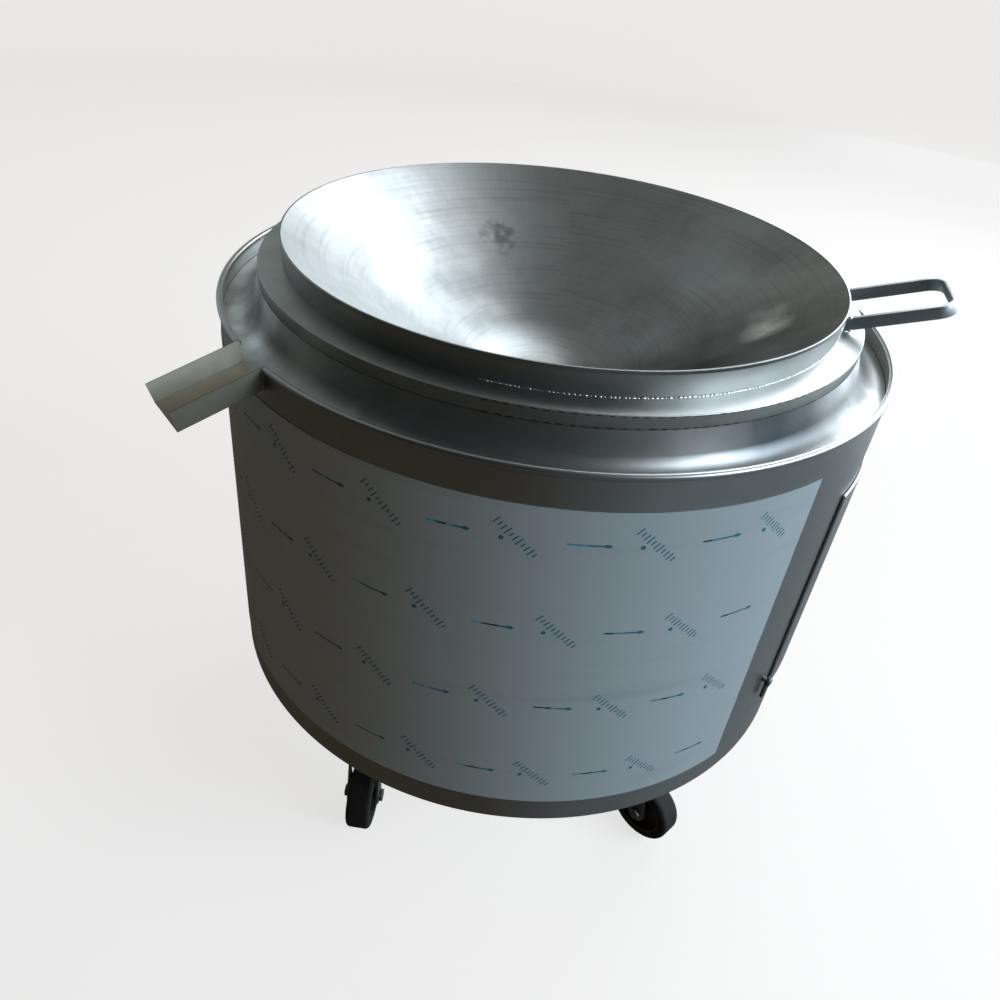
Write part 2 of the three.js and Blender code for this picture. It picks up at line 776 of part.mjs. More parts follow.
function burnerPieces() {
  const foot = floorTop + FIT;
  const potBottom = POT_BASE_HEIGHT;
  const potFloor = potBottom + POT_WALL;
  const potBore = POT_RADIUS - POT_WALL;
  const pedestalTop = potBottom - FIT;
  piece(
    "burner_pedestal",
    revolve(
      [
        [0, foot],
        [PEDESTAL_FOOT_RADIUS, foot],
        [PEDESTAL_FOOT_RADIUS, foot + PEDESTAL_FOOT_HEIGHT],
        [PEDESTAL_WAIST_RADIUS, foot + 2 * PEDESTAL_FOOT_HEIGHT],
        [PEDESTAL_WAIST_RADIUS, pedestalTop - 2 * PEDESTAL_FOOT_HEIGHT],
        [PEDESTAL_FOOT_RADIUS, pedestalTop - PEDESTAL_FOOT_HEIGHT / 2],
        [PEDESTAL_FOOT_RADIUS, pedestalTop],
        [0, pedestalTop],
      ],
      PIPE_SEGMENTS,
    ),
    castIron,
  );
  const pot = revolve(
    [
      [0, potBottom],
      [POT_RADIUS - POT_WALL, potBottom],
      [POT_RADIUS, potBottom + POT_WALL],
      [POT_RADIUS, potTop - POT_WALL],
      [POT_RADIUS + POT_LIP, potTop - POT_WALL],
      [POT_RADIUS + POT_LIP, potTop],
      [potBore, potTop],
      [potBore, potFloor],
      [0, potFloor],
    ],
    PART_SEGMENTS,
  );
  const airPort = alongY(
    rod(AIR_PIPE_RADIUS - AIR_PIPE_WALL, POT_RADIUS / 2, POT_RADIUS + OVERRUN, PIPE_SEGMENTS),
    0,
    airPipeHeight,
  );
  const fuelPort = alongY(
    rod(FUEL_PIPE_BORE, 0, POT_RADIUS + OVERRUN),
    FUEL_PIPE_OFFSET,
    fuelPipeHeight,
  );
  piece("burner_pot", cut(pot, airPort, fuelPort), castIron);

  const ringBottom = potTop + FIT;
  const ring = tube(
    POT_RADIUS,
    flameRingInner,
    ringBottom,
    ringBottom + FLAME_RING_HEIGHT,
    FLAME_SLOTS * 2,
  );
  const slots = Array.from({ length: FLAME_SLOTS }, (_, i) =>
    box(
      flameRingInner / 2,
      POT_RADIUS + OVERRUN,
      -FLAME_SLOT_WIDTH / 2,
      FLAME_SLOT_WIDTH / 2,
      ringBottom + FLAME_RING_HEIGHT - FLAME_SLOT_DEPTH,
      ringBottom + FLAME_RING_HEIGHT + OVERRUN,
    ).rotateZ(((i + 0.5) * 2 * Math.PI) / FLAME_SLOTS),
  );
  piece("flame_ring", cut(ring, ...slots), castIron);

  const stemTop = deflectorTop - DEFLECTOR_EDGE - DEFLECTOR_CONE;
  piece(
    "flame_deflector",
    revolve(
      [
        [0, potFloor + FIT],
        [DEFLECTOR_STEM_RADIUS * 2, potFloor + FIT],
        [DEFLECTOR_STEM_RADIUS, potFloor + FIT + DEFLECTOR_STEM_RADIUS],
        [DEFLECTOR_STEM_RADIUS, stemTop],
        [deflectorRadius, deflectorTop - DEFLECTOR_EDGE],
        [deflectorRadius, deflectorTop],
        [0, deflectorTop],
      ],
      PIPE_SEGMENTS,
    ),
    castIron,
  );
}

function airPieces() {
  const end = DRUM_RADIUS + AIR_PIPE_OUTREACH;
  const bore = AIR_PIPE_RADIUS - AIR_PIPE_WALL;
  const pipe = revolve(
    [
      [bore, 0],
      [AIR_PIPE_RADIUS, 0],
      [AIR_PIPE_RADIUS, end - 4 * AIR_BEAD],
      [AIR_PIPE_RADIUS + AIR_BEAD, end - 3 * AIR_BEAD],
      [AIR_PIPE_RADIUS, end - 2 * AIR_BEAD],
      [AIR_PIPE_RADIUS, end],
      [bore, end],
    ],
    PIPE_SEGMENTS,
  );
  const damperY = DRUM_RADIUS + DAMPER_OUTREACH;
  const reach = AIR_PIPE_RADIUS + DAMPER_SPINDLE_TAIL;
  const spindleTop = reach + DAMPER_LEVER_SHEET + FIT;
  const atSpindle = (g) => g.translate(0, damperY, airPipeHeight);
  const potSaddle = rod(POT_RADIUS + FIT, 0, potTop, PART_SEGMENTS);
  piece(
    "air_pipe",
    cut(
      alongY(pipe, 0, airPipeHeight),
      potSaddle,
      atSpindle(boreFor(DAMPER_SPINDLE_RADIUS, -reach - OVERRUN, reach + OVERRUN)),
    ),
    zinc,
  );
  const flap = rod(
    bore - DAMPER_FLAP_GAP,
    -DAMPER_FLAP_THICKNESS / 2,
    DAMPER_FLAP_THICKNESS / 2,
    PIPE_SEGMENTS,
  )
    .rotateY(Math.PI / 2)
    .translate(0, damperY, airPipeHeight);
  const spindle = atSpindle(rod(DAMPER_SPINDLE_RADIUS, -reach, spindleTop));
  piece("damper_flap", join(flap, spindle), zinc);
  const lever = roundedRectangle(
    DAMPER_LEVER_WIDTH,
    DAMPER_LEVER_LENGTH,
    DAMPER_LEVER_WIDTH / 2 - FIT,
  );
  const leverBottom = AIR_PIPE_RADIUS + DAMPER_SPINDLE_TAIL;
  const bar = extrude(lever, leverBottom, leverBottom + DAMPER_LEVER_SHEET).translate(
    0,
    damperY + DAMPER_LEVER_LENGTH / 2 - DAMPER_LEVER_WIDTH / 2,
    airPipeHeight,
  );
  const hole = atSpindle(boreFor(DAMPER_SPINDLE_RADIUS, 0, spindleTop + OVERRUN));
  piece("damper_lever", cut(bar, hole), blackPaint);
}

function fuelPieces() {
  const valveStart = DRUM_RADIUS + VALVE_OUTREACH;
  const pipe = tube(FUEL_PIPE_RADIUS, FUEL_PIPE_BORE, 0, valveStart - FIT, SMALL_SEGMENTS);
  const saddle = rod(POT_RADIUS + FIT, 0, potTop, PART_SEGMENTS);
  const lipSaddle = rod(
    POT_RADIUS + POT_LIP + FIT,
    potTop - POT_WALL - FIT,
    potTop,
    PART_SEGMENTS,
  );
  piece(
    "fuel_pipe",
    cut(alongY(pipe, FUEL_PIPE_OFFSET, fuelPipeHeight), saddle, lipSaddle),
    brass,
  );
  const valveEnd = valveStart + VALVE_LENGTH;
  const half = VALVE_WIDTH / 2;
  const centreY = valveStart + VALVE_LENGTH / 2;
  const block = box(
    FUEL_PIPE_OFFSET - half,
    FUEL_PIPE_OFFSET + half,
    valveStart,
    valveEnd,
    fuelPipeHeight - half,
    fuelPipeHeight + half,
  );
  const tailR = FUEL_PIPE_RADIUS;
  const barb = HOSE_TAIL_LENGTH / 4;
  const tail = revolve(
    [
      [0, valveEnd - FIT],
      [tailR, valveEnd - FIT],
      [tailR, valveEnd + barb],
      [tailR + HOSE_TAIL_BARB, valveEnd + barb],
      [tailR, valveEnd + 2 * barb],
      [tailR + HOSE_TAIL_BARB, valveEnd + 2 * barb],
      [tailR, valveEnd + 3 * barb],
      [tailR + HOSE_TAIL_BARB, valveEnd + 3 * barb],
      [tailR, valveEnd + HOSE_TAIL_LENGTH],
      [0, valveEnd + HOSE_TAIL_LENGTH],
    ],
    SMALL_SEGMENTS,
  );
  const neckTop = fuelPipeHeight + half + VALVE_NECK_HEIGHT;
  const upright = (g) => g.translate(FUEL_PIPE_OFFSET, centreY, 0);
  const neck = upright(rod(VALVE_NECK_RADIUS, fuelPipeHeight, neckTop));
  const stemHole = upright(boreFor(KNOB_STEM_RADIUS, fuelPipeHeight, neckTop + OVERRUN));
  piece(
    "fuel_valve_body",
    cut(join(block, alongY(tail, FUEL_PIPE_OFFSET, fuelPipeHeight), neck), stemHole),
    brass,
  );
  const knobSteps = KNOB_LOBES * KNOB_LOBE_STEPS;
  const outline = Array.from({ length: knobSteps }, (_, i) => {
    const a = (i * 2 * Math.PI) / knobSteps;
    const r = KNOB_RADIUS - (KNOB_LOBE_DEPTH * (1 - Math.cos(a * KNOB_LOBES))) / 2;
    return new THREE.Vector2(r * Math.cos(a), r * Math.sin(a));
  });
  const knobBottom = neckTop + FIT;
  const knob = join(
    extrude(new THREE.Shape(outline), knobBottom, knobBottom + KNOB_HEIGHT),
    rod(KNOB_STEM_RADIUS, fuelPipeHeight + FIT, knobBottom + KNOB_HEIGHT / 2),
  );
  piece("fuel_valve_knob", upright(knob), knobPlastic);
}

function flueStub() {
  const end = DRUM_RADIUS + FLUE_OUTREACH;
  const bore = FLUE_RADIUS - FLUE_WALL;
  const flange = DRUM_RADIUS + FIT;
  const pipe = revolve(
    [
      [bore, linerInner],
      [FLUE_RADIUS, linerInner],
      [FLUE_RADIUS, flange],
      [FLUE_RADIUS + FLUE_FLANGE, flange],
      [FLUE_RADIUS + FLUE_FLANGE, flange + FLUE_WALL],
      [FLUE_RADIUS, flange + FLUE_WALL],
      [FLUE_RADIUS, end],
      [bore, end],
    ],
    PIPE_SEGMENTS,
  );
  piece("flue_stub", alongY(pipe, 0, flueHeight), zinc);
}

// One leg with its caster. The caster group turns about its king pin towards its trail.
function legAndCaster(index) {
  const number = index + 1;
  const leg = new THREE.Group();
  leg.position.copy(place(legCircleRadius, LEG_AZIMUTHS[index], 0));
  leg.rotation.z = rad(LEG_AZIMUTHS[index] - 90);
  stove.add(leg);
  const half = LEG_WIDTH / 2;
  const bore = half - LEG_WALL;
  const tubeBox = box(-half, half, -half, half, legBottom, legTop);
  const hollow = box(-bore, bore, -bore, bore, legBottom - OVERRUN, legTop - LEG_WALL);
  piece(`leg_${number}`, cut(tubeBox, hollow), blackPaint, leg);

  const plateShape = roundedRectangle(CASTER_PLATE, CASTER_PLATE, CASTER_PLATE_CORNER);
  const plate = join(
    extrude(plateShape, raceTop, plateTop),
    rod(RACE_RADIUS, raceBottom, raceTop, PIPE_SEGMENTS),
    rod(KING_PIN_RADIUS, kingNutBottom, raceBottom),
    rod(KING_NUT_RADIUS, kingNutBottom, kingNutBottom + KING_NUT_HEIGHT, HEX_SIDES),
  );
  piece(`caster_plate_${number}`, plate, zinc, leg);

  const caster = new THREE.Group();
  caster.position.copy(leg.position);
  caster.rotation.z = rad(CASTER_TRAILS[index] - 90);
  stove.add(caster);
  const inner = FORK_GAP / 2;
  const outer = inner + FORK_SHEET;
  const cheek = new THREE.Shape();
  cheek.moveTo(-FORK_CROWN_RADIUS, crownTop);
  cheek.absarc(CASTER_TRAIL, axleHeight, FORK_TIP_RADIUS, Math.PI, 2 * Math.PI);
  cheek.lineTo(FORK_CROWN_RADIUS, crownTop);
  const cheeks = [-outer, inner].map((y) =>
    extrude(cheek, 0, FORK_SHEET)
      .rotateX(Math.PI / 2)
      .translate(0, y + FORK_SHEET, 0),
  );
  const crown = box(
    -FORK_CROWN_RADIUS,
    FORK_CROWN_RADIUS,
    -outer,
    outer,
    crownBottom,
    crownTop,
  );
  const alongAxle = (g) => g.rotateX(Math.PI / 2).translate(CASTER_TRAIL, 0, axleHeight);
  const fork = cut(
    join(crown, ...cheeks),
    boreFor(KING_PIN_RADIUS, crownBottom - OVERRUN, crownTop + OVERRUN),
    alongAxle(boreFor(AXLE_RADIUS, -outer - OVERRUN, outer + OVERRUN)),
  );
  piece(`caster_fork_${number}`, fork, zinc, caster);

  const w = WHEEL_WIDTH / 2;
  const bed = WHEEL_RADIUS - TYRE_DEPTH;
  const tyre = revolve(
    [
      [bed, -w],
      [WHEEL_RADIUS - TREAD_CROWN, -w],
      [WHEEL_RADIUS, -w + TREAD_CROWN],
      [WHEEL_RADIUS, w - TREAD_CROWN],
      [WHEEL_RADIUS - TREAD_CROWN, w],
      [bed, w],
    ],
    WHEEL_SEGMENTS,
  );
  piece(`caster_tyre_${number}`, alongAxle(tyre), rubber, caster);
  const hubOuter = bed - FIT;
  const hub = revolve(
    [
      [AXLE_RADIUS + FIT, -w],
      [HUB_BOSS_RADIUS, -w],
      [HUB_BOSS_RADIUS, -HUB_WEB / 2],
      [hubOuter - HUB_RIM, -HUB_WEB / 2],
      [hubOuter - HUB_RIM, -w],
      [hubOuter, -w],
      [hubOuter, w],
      [hubOuter - HUB_RIM, w],
      [hubOuter - HUB_RIM, HUB_WEB / 2],
      [HUB_BOSS_RADIUS, HUB_WEB / 2],
      [HUB_BOSS_RADIUS, w],
      [AXLE_RADIUS + FIT, w],
    ],
    WHEEL_SEGMENTS,
  );
  piece(`caster_hub_${number}`, alongAxle(hub), blackPaint, caster);
  const head = outer + FIT;
  const axle = join(
    rod(AXLE_RADIUS, -head, head),
    rod(AXLE_HEAD_RADIUS, head, head + AXLE_HEAD_HEIGHT, HEX_SIDES),
    rod(AXLE_HEAD_RADIUS, -head - AXLE_HEAD_HEIGHT, -head, HEX_SIDES),
  );
  piece(`caster_axle_${number}`, alongAxle(axle), zinc, caster);
}

piece("drum_shell", drumShell(), brushedSteel);
drumBase();
piece(
  "protective_film",
  wallBlock(
    onDrum,
    onDrum + FILM_THICKNESS,
    FILM_AZIMUTH_START,
    FILM_AZIMUTH_END,
    FILM_BOTTOM_BARE,
    DRUM_HEIGHT - FILM_TOP_BARE,
  ),
  filmPlastic,
);
piece("gutter_floor", gutterFloor(), polishedSteel);
piece(
  "gutter_inner_wall",
  tube(skirtRadius, skirtRadius - COLLAR_SHEET, coverTop + FIT, collarEdgeTop - COLLAR_SHEET - FIT),
  polishedSteel,
);
piece("collar_ring", collarRing(), polishedSteel);
piece("bowl_band", bowlBand(), polishedSteel);
piece("bowl", revolve(bowlProfile()), polishedSteel);
piece("drain_spout", drainSpout(), brushedSteel);
piece("lifting_handle", liftingHandle(), darkSteel);
chamberPieces();
fireDoor();
hingePieces();
doorCatch();
burnerPieces();
airPieces();
fuelPieces();
flueStub();
LEG_AZIMUTHS.forEach((_, index) => legAndCaster(index));

export default stove;
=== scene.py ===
import json
import math
import random

import bmesh
import bpy
from mathutils import Matrix, Vector

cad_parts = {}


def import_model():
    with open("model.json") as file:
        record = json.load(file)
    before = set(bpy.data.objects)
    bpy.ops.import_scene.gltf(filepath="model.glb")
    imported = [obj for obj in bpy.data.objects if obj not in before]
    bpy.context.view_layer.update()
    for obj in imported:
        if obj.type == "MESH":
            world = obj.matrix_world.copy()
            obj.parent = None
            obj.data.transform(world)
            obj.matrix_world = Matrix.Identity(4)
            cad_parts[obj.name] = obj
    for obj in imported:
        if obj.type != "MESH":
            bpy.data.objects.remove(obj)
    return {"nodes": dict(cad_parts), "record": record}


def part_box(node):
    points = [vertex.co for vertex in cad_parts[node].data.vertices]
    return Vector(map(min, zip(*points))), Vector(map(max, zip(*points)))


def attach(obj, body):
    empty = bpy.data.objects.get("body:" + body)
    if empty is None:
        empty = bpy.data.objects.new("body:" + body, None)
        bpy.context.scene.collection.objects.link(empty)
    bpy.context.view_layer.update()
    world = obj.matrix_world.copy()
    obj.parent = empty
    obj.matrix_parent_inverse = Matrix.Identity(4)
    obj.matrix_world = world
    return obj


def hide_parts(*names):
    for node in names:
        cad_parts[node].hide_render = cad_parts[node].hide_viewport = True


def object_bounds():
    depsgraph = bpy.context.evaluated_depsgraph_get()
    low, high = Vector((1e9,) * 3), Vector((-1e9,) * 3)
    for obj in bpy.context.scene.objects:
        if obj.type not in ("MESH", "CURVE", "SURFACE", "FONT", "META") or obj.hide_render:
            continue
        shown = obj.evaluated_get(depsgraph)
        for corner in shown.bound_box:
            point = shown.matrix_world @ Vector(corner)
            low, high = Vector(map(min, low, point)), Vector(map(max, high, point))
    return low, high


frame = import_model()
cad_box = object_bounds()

MM = 0.001

# Drum
DRUM_RADIUS = 400 * MM
DRUM_WALL = 2 * MM
DRUM_HEIGHT = 500 * MM
RIM_BEAD_RADIUS = 3.7 * MM
FIT = 0.3 * MM
OVERRUN = 20 * MM

# Gutter, collar and bowl
GUTTER_DEPTH = 23 * MM
GUTTER_SHEET = 2 * MM
GUTTER_COVE = 26 * MM
GUTTER_LEAN = 5 * MM
GUTTER_UPSTAND = 41 * MM
COLLAR_RADIUS = 356.5 * MM
COLLAR_RISE = 32.6 * MM
COLLAR_CROWN = 2.6 * MM
COLLAR_SHEET = 2 * MM
COLLAR_LIP = 14 * MM
COLLAR_BEND = 1.4 * MM
BOWL_RADIUS = 331.4 * MM
BOWL_RISE = 63.4 * MM
BOWL_SHEET = 2.5 * MM
BOWL_RIM_LAND = 3.4 * MM
BOWL_RIM_ROUND = 0.7 * MM
BOWL_SIDE = math.radians(34)
BOWL_FLOOR_RADIUS = 0.332 * BOWL_RADIUS
BAND_FOOT_RADIUS = 328.8 * MM
BAND_SHEET = 2 * MM

# Painted light and painted shade: patches of tone that stand for reflections, highlights and
# shadows. Where, in mm; how far one reaches and the size of its spots; how dense the noise has to
# be before it shows; how much it hides at most; and its tone
BOWL_PAINTED_LIGHT = (
    ((-96, 202, 491), 75 * MM, 16 * MM, 0.3, 0.6, "#3f4346"),
    ((170, -170, 480), 300 * MM, 90 * MM, 0.03, 0.92, "#33312e"),
    ((-116, 82, 438), 150 * MM, 60 * MM, 0.1, 0.5, "#4c5254"),
    ((245, -55, 509), 46 * MM, 30 * MM, 0.1, 1.0, "#f6f7f6"),
    ((254, -12, 513), 40 * MM, 30 * MM, 0.1, 0.4, "#f6f7f6"),
)
GUTTER_PAINTED_LIGHT = (
    ((-350, -130, 490), 110 * MM, 30 * MM, 0.1, 1.0, "#f4f6f7"),
    ((-335, -60, 490), 90 * MM, 40 * MM, 0.1, 0.8, "#f4f6f7"),
    ((-304, -201, 491), 60 * MM, 30 * MM, 0.1, 1.0, "#f4f6f7"),
    ((335, -150, 500), 120 * MM, 40 * MM, 0.08, 1.0, "#f4f6f7"),
    ((207, -294, 510), 95 * MM, 120 * MM, 0.03, 0.8, "#39444c"),
    ((258, -244, 510), 75 * MM, 120 * MM, 0.03, 0.7, "#39444c"),
)

# Spout
SPOUT_AZIMUTH = -47
SPOUT_WIDTH = 64 * MM
SPOUT_HEIGHT = 22 * MM
SPOUT_SHEET = 2 * MM
SPOUT_LENGTH = 93 * MM
SPOUT_FALL = math.radians(15.7)
SPOUT_BEND = 2.5 * MM
SPOUT_SIDE = (math.cos(math.radians(SPOUT_AZIMUTH)), math.sin(math.radians(SPOUT_AZIMUTH)), 0)
# The outside of the spout's near wall, darkened by painted shade: a direction, and the distances along
# it where the shade starts and is whole
SPOUT_PAINTED_SHADE_SIDE = (SPOUT_SIDE, SPOUT_WIDTH / 2 - 1.5 * SPOUT_SHEET, SPOUT_WIDTH / 2 - 0.5 * SPOUT_SHEET)

# Handle
HANDLE_AZIMUTH = 82
HANDLE_SPREAD = 87 * MM
HANDLE_BAR_HEIGHT = 14 * MM
HANDLE_BAR_THICKNESS = 6 * MM
HANDLE_REACH = 112 * MM
HANDLE_CORNER = 22 * MM
HANDLE_RISE = math.radians(20)
HANDLE_ROOT_DROP = 20 * MM
HANDLE_WELDS = ((-HANDLE_BAR_HEIGHT / 2, 3 * MM), (HANDLE_BAR_HEIGHT / 2, 4 * MM))
HANDLE_WELD_HEIGHT = 2.2 * MM

# Door and its opening
DOOR_AZIMUTHS = (57, 103.5)
DOOR_HEIGHTS = (102 * MM, 402 * MM)
DOOR_SHEET = 3.5 * MM
DOOR_LAP = 22 * MM
DOOR_EDGE = 2.6 * MM
LINER_RADIUS = 300 * MM

# Pipes at the back
AIR_PIPE_RADIUS = 24 * MM
AIR_PIPE_HEIGHT = 96 * MM
FUEL_PIPE_RADIUS = 5 * MM
FUEL_PIPE_OFFSET = -48 * MM
FUEL_PIPE_HEIGHT = 116 * MM
FLUE_RADIUS = 50 * MM
FLUE_HEIGHT = 360 * MM
FLUE_FLANGE = 16 * MM
PIPE_WALL = 2 * MM
HOSE_BEAD = 2 * MM
DAMPER_SPINDLE_RADIUS = 3 * MM
POT_RADIUS = 85 * MM

# Casters
LEG_AZIMUTHS = (-38.5, 51.5, 141.5, 231.5)
CASTER_TRAILS = (0, 50, 200, 120)
LEG_CIRCLE_RADIUS = 285 * MM
CASTER_TRAIL = 28 * MM
WHEEL_RADIUS = 50 * MM
WHEEL_WIDTH = 34 * MM
TYRE_DEPTH = 12 * MM
TREAD_ROUND = 6 * MM
AXLE_RADIUS = 5 * MM
HUB_BOSS_RADIUS = 13 * MM
HUB_WEB = 8 * MM
HUB_RIM = 4 * MM

# Film left on the drum
FILM_THICKNESS = 0.5 * MM
FILM_AZIMUTHS = (-150, 44.8)
FILM_HEIGHTS = (35 * MM, 459 * MM)
PRINT_THICKNESS = 0.08 * MM

# How finely round shapes are turned
RING_STEPS = 288
PIPE_STEPS = 64
ARC_STEPS = 8
WELD_DISTANCE = 0.005 * MM

# How far edges are rounded
FINE_ROUND = 0.3 * MM
SHEET_ROUND = 0.5 * MM
CAST_ROUND = 0.6 * MM
FORK_ROUND = 0.8 * MM
LEG_ROUND = 2 * MM

# Where a pattern becomes a mark: none up to the first value, the whole mark past the second
STAIN_EDGE = (0.45, 0.75)
SCRATCH_EDGE = (0.3, 0.8)
RING_EDGE = (0.5, 0.8)
STREAK_EDGE = (0.55, 0.8)
WEAR_EDGE = (0.5, 0.72)
GLOSS_EDGE = (0.3, 0.75)
PAINTED_LIGHT_WHOLE = 0.5
# How much of its own tone a whole mark shows
SCRATCH_SHARE = 0.16
RING_SHARE = 0.4
STREAK_SHARE = 0.35
PAINTED_SHADE_SHARE = 0.85
# How much the roughness varies over steel and over dull surfaces
STEEL_GLOSS_RISE = 0.12
DULL_GLOSS_SPREAD = 0.1

random.seed(7)
slot_of = {part["node"]: part["material_slot"] for part in frame["record"]["subparts"]}
bodies = frame["record"]["behaviour"]["bodies"]
body_of = {node: body for body, nodes in bodies.items() for node in nodes}
gutter_top = DRUM_HEIGHT - GUTTER_DEPTH
collar_edge = DRUM_HEIGHT + COLLAR_RISE
bowl_top = DRUM_HEIGHT + BOWL_RISE
ground = cad_box[0].z


# Colour and nodes

def linear(hex_colour):
    """An sRGB hex colour as linear RGBA."""
    channels = [int(hex_colour[i:i + 2], 16) / 255 for i in (1, 3, 5)]
    return [c / 12.92 if c <= 0.04045 else ((c + 0.055) / 1.055) ** 2.4 for c in channels] + [1]


def add(tree, kind, inputs=None, output=0, **settings):
    """Adds a node and gives one of its outputs. An input is a value, a hex colour or a socket."""
    made = tree.nodes.new("ShaderNode" + kind)
    for key, value in settings.items():
        setattr(made, key, value)
    for key, value in (inputs or {}).items():
        if isinstance(value, bpy.types.NodeSocket):
            tree.links.new(value, made.inputs[key])
        else:
            made.inputs[key].default_value = linear(value) if isinstance(value, str) else value
    return made.outputs[output]


def blank(name):
    """A material with only a shader and its output."""
    material = bpy.data.materials.new(name)
    material.use_nodes = True
    tree = material.node_tree
    return material, tree, tree.nodes["Principled BSDF"]


def own_place(tree):
    return add(tree, "TexCoord", output="Object")


def round_place(tree):
    """Distance along the drum's side, distance from its axis, and height, in metres."""
    axes = add(tree, "SeparateXYZ", {0: own_place(tree)}).node.outputs
    front = add(tree, "Math", {0: axes["Y"], 1: -1.0}, operation="MULTIPLY")
    angle = add(tree, "Math", {0: axes["X"], 1: front}, operation="ARCTAN2")
    along = add(tree, "Math", {0: angle, 1: DRUM_RADIUS}, operation="MULTIPLY")
    flat = add(tree, "CombineXYZ", {"X": axes["X"], "Y": axes["Y"]})
    away = add(tree, "VectorMath", {0: flat}, "Value", operation="LENGTH")
    return add(tree, "CombineXYZ", {"X": along, "Y": away, "Z": axes["Z"]})


def drawn_out(tree, place, grain, detail):
    """Noise drawn out into lines: grain holds the marks per metre along each coordinate."""
    scaled = add(tree, "Mapping", {0: place, "Scale": grain})
    return add(tree, "TexNoise", {"Vector": scaled, "Scale": 1, "Detail": detail}, "Fac")


def toned(tree, colour, tone, pattern, edge, most):
    """Lays a tone over a colour: none where a pattern is below one limit, most past the other."""
    limits = {"From Min": edge[0], "From Max": edge[1], "To Max": most}
    share = add(tree, "MapRange", {"Value": pattern, **limits})
    return add(tree, "Mix", {"Factor": share, "A": colour, "B": tone}, "Result", data_type="RGBA")


def lay_painted_light(tree, place, colour, smudge):
    """Lays one patch of painted light over a colour, bright for a highlight and dark for shade, in
    spots that thin out towards its rim.
    """
    middle, reach, spot_size, start, most, tone = smudge
    gap = {0: place, 1: Vector(middle) * MM}
    away = add(tree, "VectorMath", gap, "Value", operation="DISTANCE")
    fading = {"Value": away, "From Min": 0, "From Max": reach, "To Min": 1, "To Max": 0}
    near = add(tree, "MapRange", fading)
    spots = add(tree, "TexNoise", {"Vector": place, "Scale": 1 / spot_size, "Detail": 3}, "Fac")
    dense = add(tree, "Math", {0: near, 1: spots}, operation="MULTIPLY")
    return toned(tree, colour, tone, dense, (start, PAINTED_LIGHT_WHOLE), most)


def finish_with(tree, shader, colour, roughness, relief, metallic):
    tree.links.new(colour, shader.inputs["Base Color"])
    tree.links.new(roughness, shader.inputs["Roughness"])
    tree.links.new(relief, shader.inputs["Normal"])
    shader.inputs["Metallic"].default_value = metallic


# Mill lines and polishing strokes are well under a millimetre apart, too fine for the picture, so the
# steels draw them as coarse as they need to show, some 2 to 17 mm apart. Waves and stains are as wide
# as a hand.
def steel(name, hex_colour, stain_and_shade_hex, roughness, grain, coordinates=own_place, **looks):
    """Sheet steel. grain, waves and stains count marks per metre: few marks make long lines. Depths are
    in mm."""
    look = {"grain_depth": 0.02, "wave_depth": 0.5, "stain": 0.35, "waves": 9, "stains": 7}
    look.update({"metal": 1, "pull": 0, "soiled_side": None, "rings": None, "smudges": ()})
    look.update(looks)
    material, tree, shader = blank(name)
    place = own_place(tree)
    lines = drawn_out(tree, coordinates(tree), grain, 3)
    cloudy = {"Vector": place, "Scale": look["stains"], "Detail": 5, "Roughness": 0.6}
    clouds = add(tree, "TexNoise", cloudy, "Fac")
    waves = add(tree, "TexNoise", {"Vector": place, "Scale": look["waves"], "Detail": 1}, "Fac")
    colour = toned(tree, hex_colour, stain_and_shade_hex, clouds, STAIN_EDGE, look["stain"])
    colour = toned(tree, colour, stain_and_shade_hex, lines, SCRATCH_EDGE, SCRATCH_SHARE)
    if look["rings"]:
        rings = drawn_out(tree, coordinates(tree), look["rings"], 2)
        lines = add(tree, "Math", {0: lines, 1: rings}, operation="MULTIPLY")
        colour = toned(tree, colour, stain_and_shade_hex, rings, RING_EDGE, RING_SHARE)
    # Painted reflections, painted highlights and painted shade, laid as patches of tone
    for smudge in look["smudges"]:
        colour = lay_painted_light(tree, place, colour, smudge)
    # Painted shade: darker towards one side of the piece
    if look["soiled_side"]:
        aim, start, end = look["soiled_side"]
        across = add(tree, "VectorMath", {0: place, 1: aim}, "Value", operation="DOT_PRODUCT")
        colour = toned(tree, colour, stain_and_shade_hex, across, (start, end), PAINTED_SHADE_SHARE)
    limits = {"From Min": GLOSS_EDGE[0], "From Max": GLOSS_EDGE[1], "To Min": roughness}
    gloss = add(tree, "MapRange", {"Value": clouds, **limits, "To Max": roughness + STEEL_GLOSS_RISE})
    grained = {"Height": lines, "Strength": 0.5, "Distance": look["grain_depth"] * MM}
    waved = {"Height": waves, "Strength": 0.6, "Distance": look["wave_depth"] * MM}
    dented = add(tree, "Bump", {**waved, "Normal": add(tree, "Bump", grained)})
    finish_with(tree, shader, colour, gloss, dented, look["metal"])
    if look["pull"]:
        shader.inputs["Anisotropic"].default_value = look["pull"]
        round_way = add(tree, "Tangent", direction_type="RADIAL", axis="Z")
        tree.links.new(round_way, shader.inputs["Tangent"])
    return material


def film_finish():
    """Blue-grey polythene film over rolled steel: the steel's shine comes through a milky skin."""
    material, tree, shader = blank("polythene_film")
    place = round_place(tree)
    lines = drawn_out(tree, place, (1.5, 0, 320), 4)
    streaks = drawn_out(tree, place, (3, 0, 40), 2)
    blisters = add(tree, "TexNoise", {"Vector": own_place(tree), "Scale": 24, "Detail": 3}, "Fac")
    colour = toned(tree, "#a9bdc3", "#8799a0", streaks, STREAK_EDGE, STREAK_SHARE)
    gloss = add(tree, "MapRange", {"Value": blisters, "To Min": 0.34, "To Max": 0.52})
    lined = add(tree, "Bump", {"Height": lines, "Strength": 0.5, "Distance": 0.02 * MM})
    blistered = {"Height": blisters, "Strength": 0.4, "Distance": 0.5 * MM}
    skin = add(tree, "Bump", {**blistered, "Normal": lined})
    finish_with(tree, shader, colour, gloss, skin, 0.04)
    return material


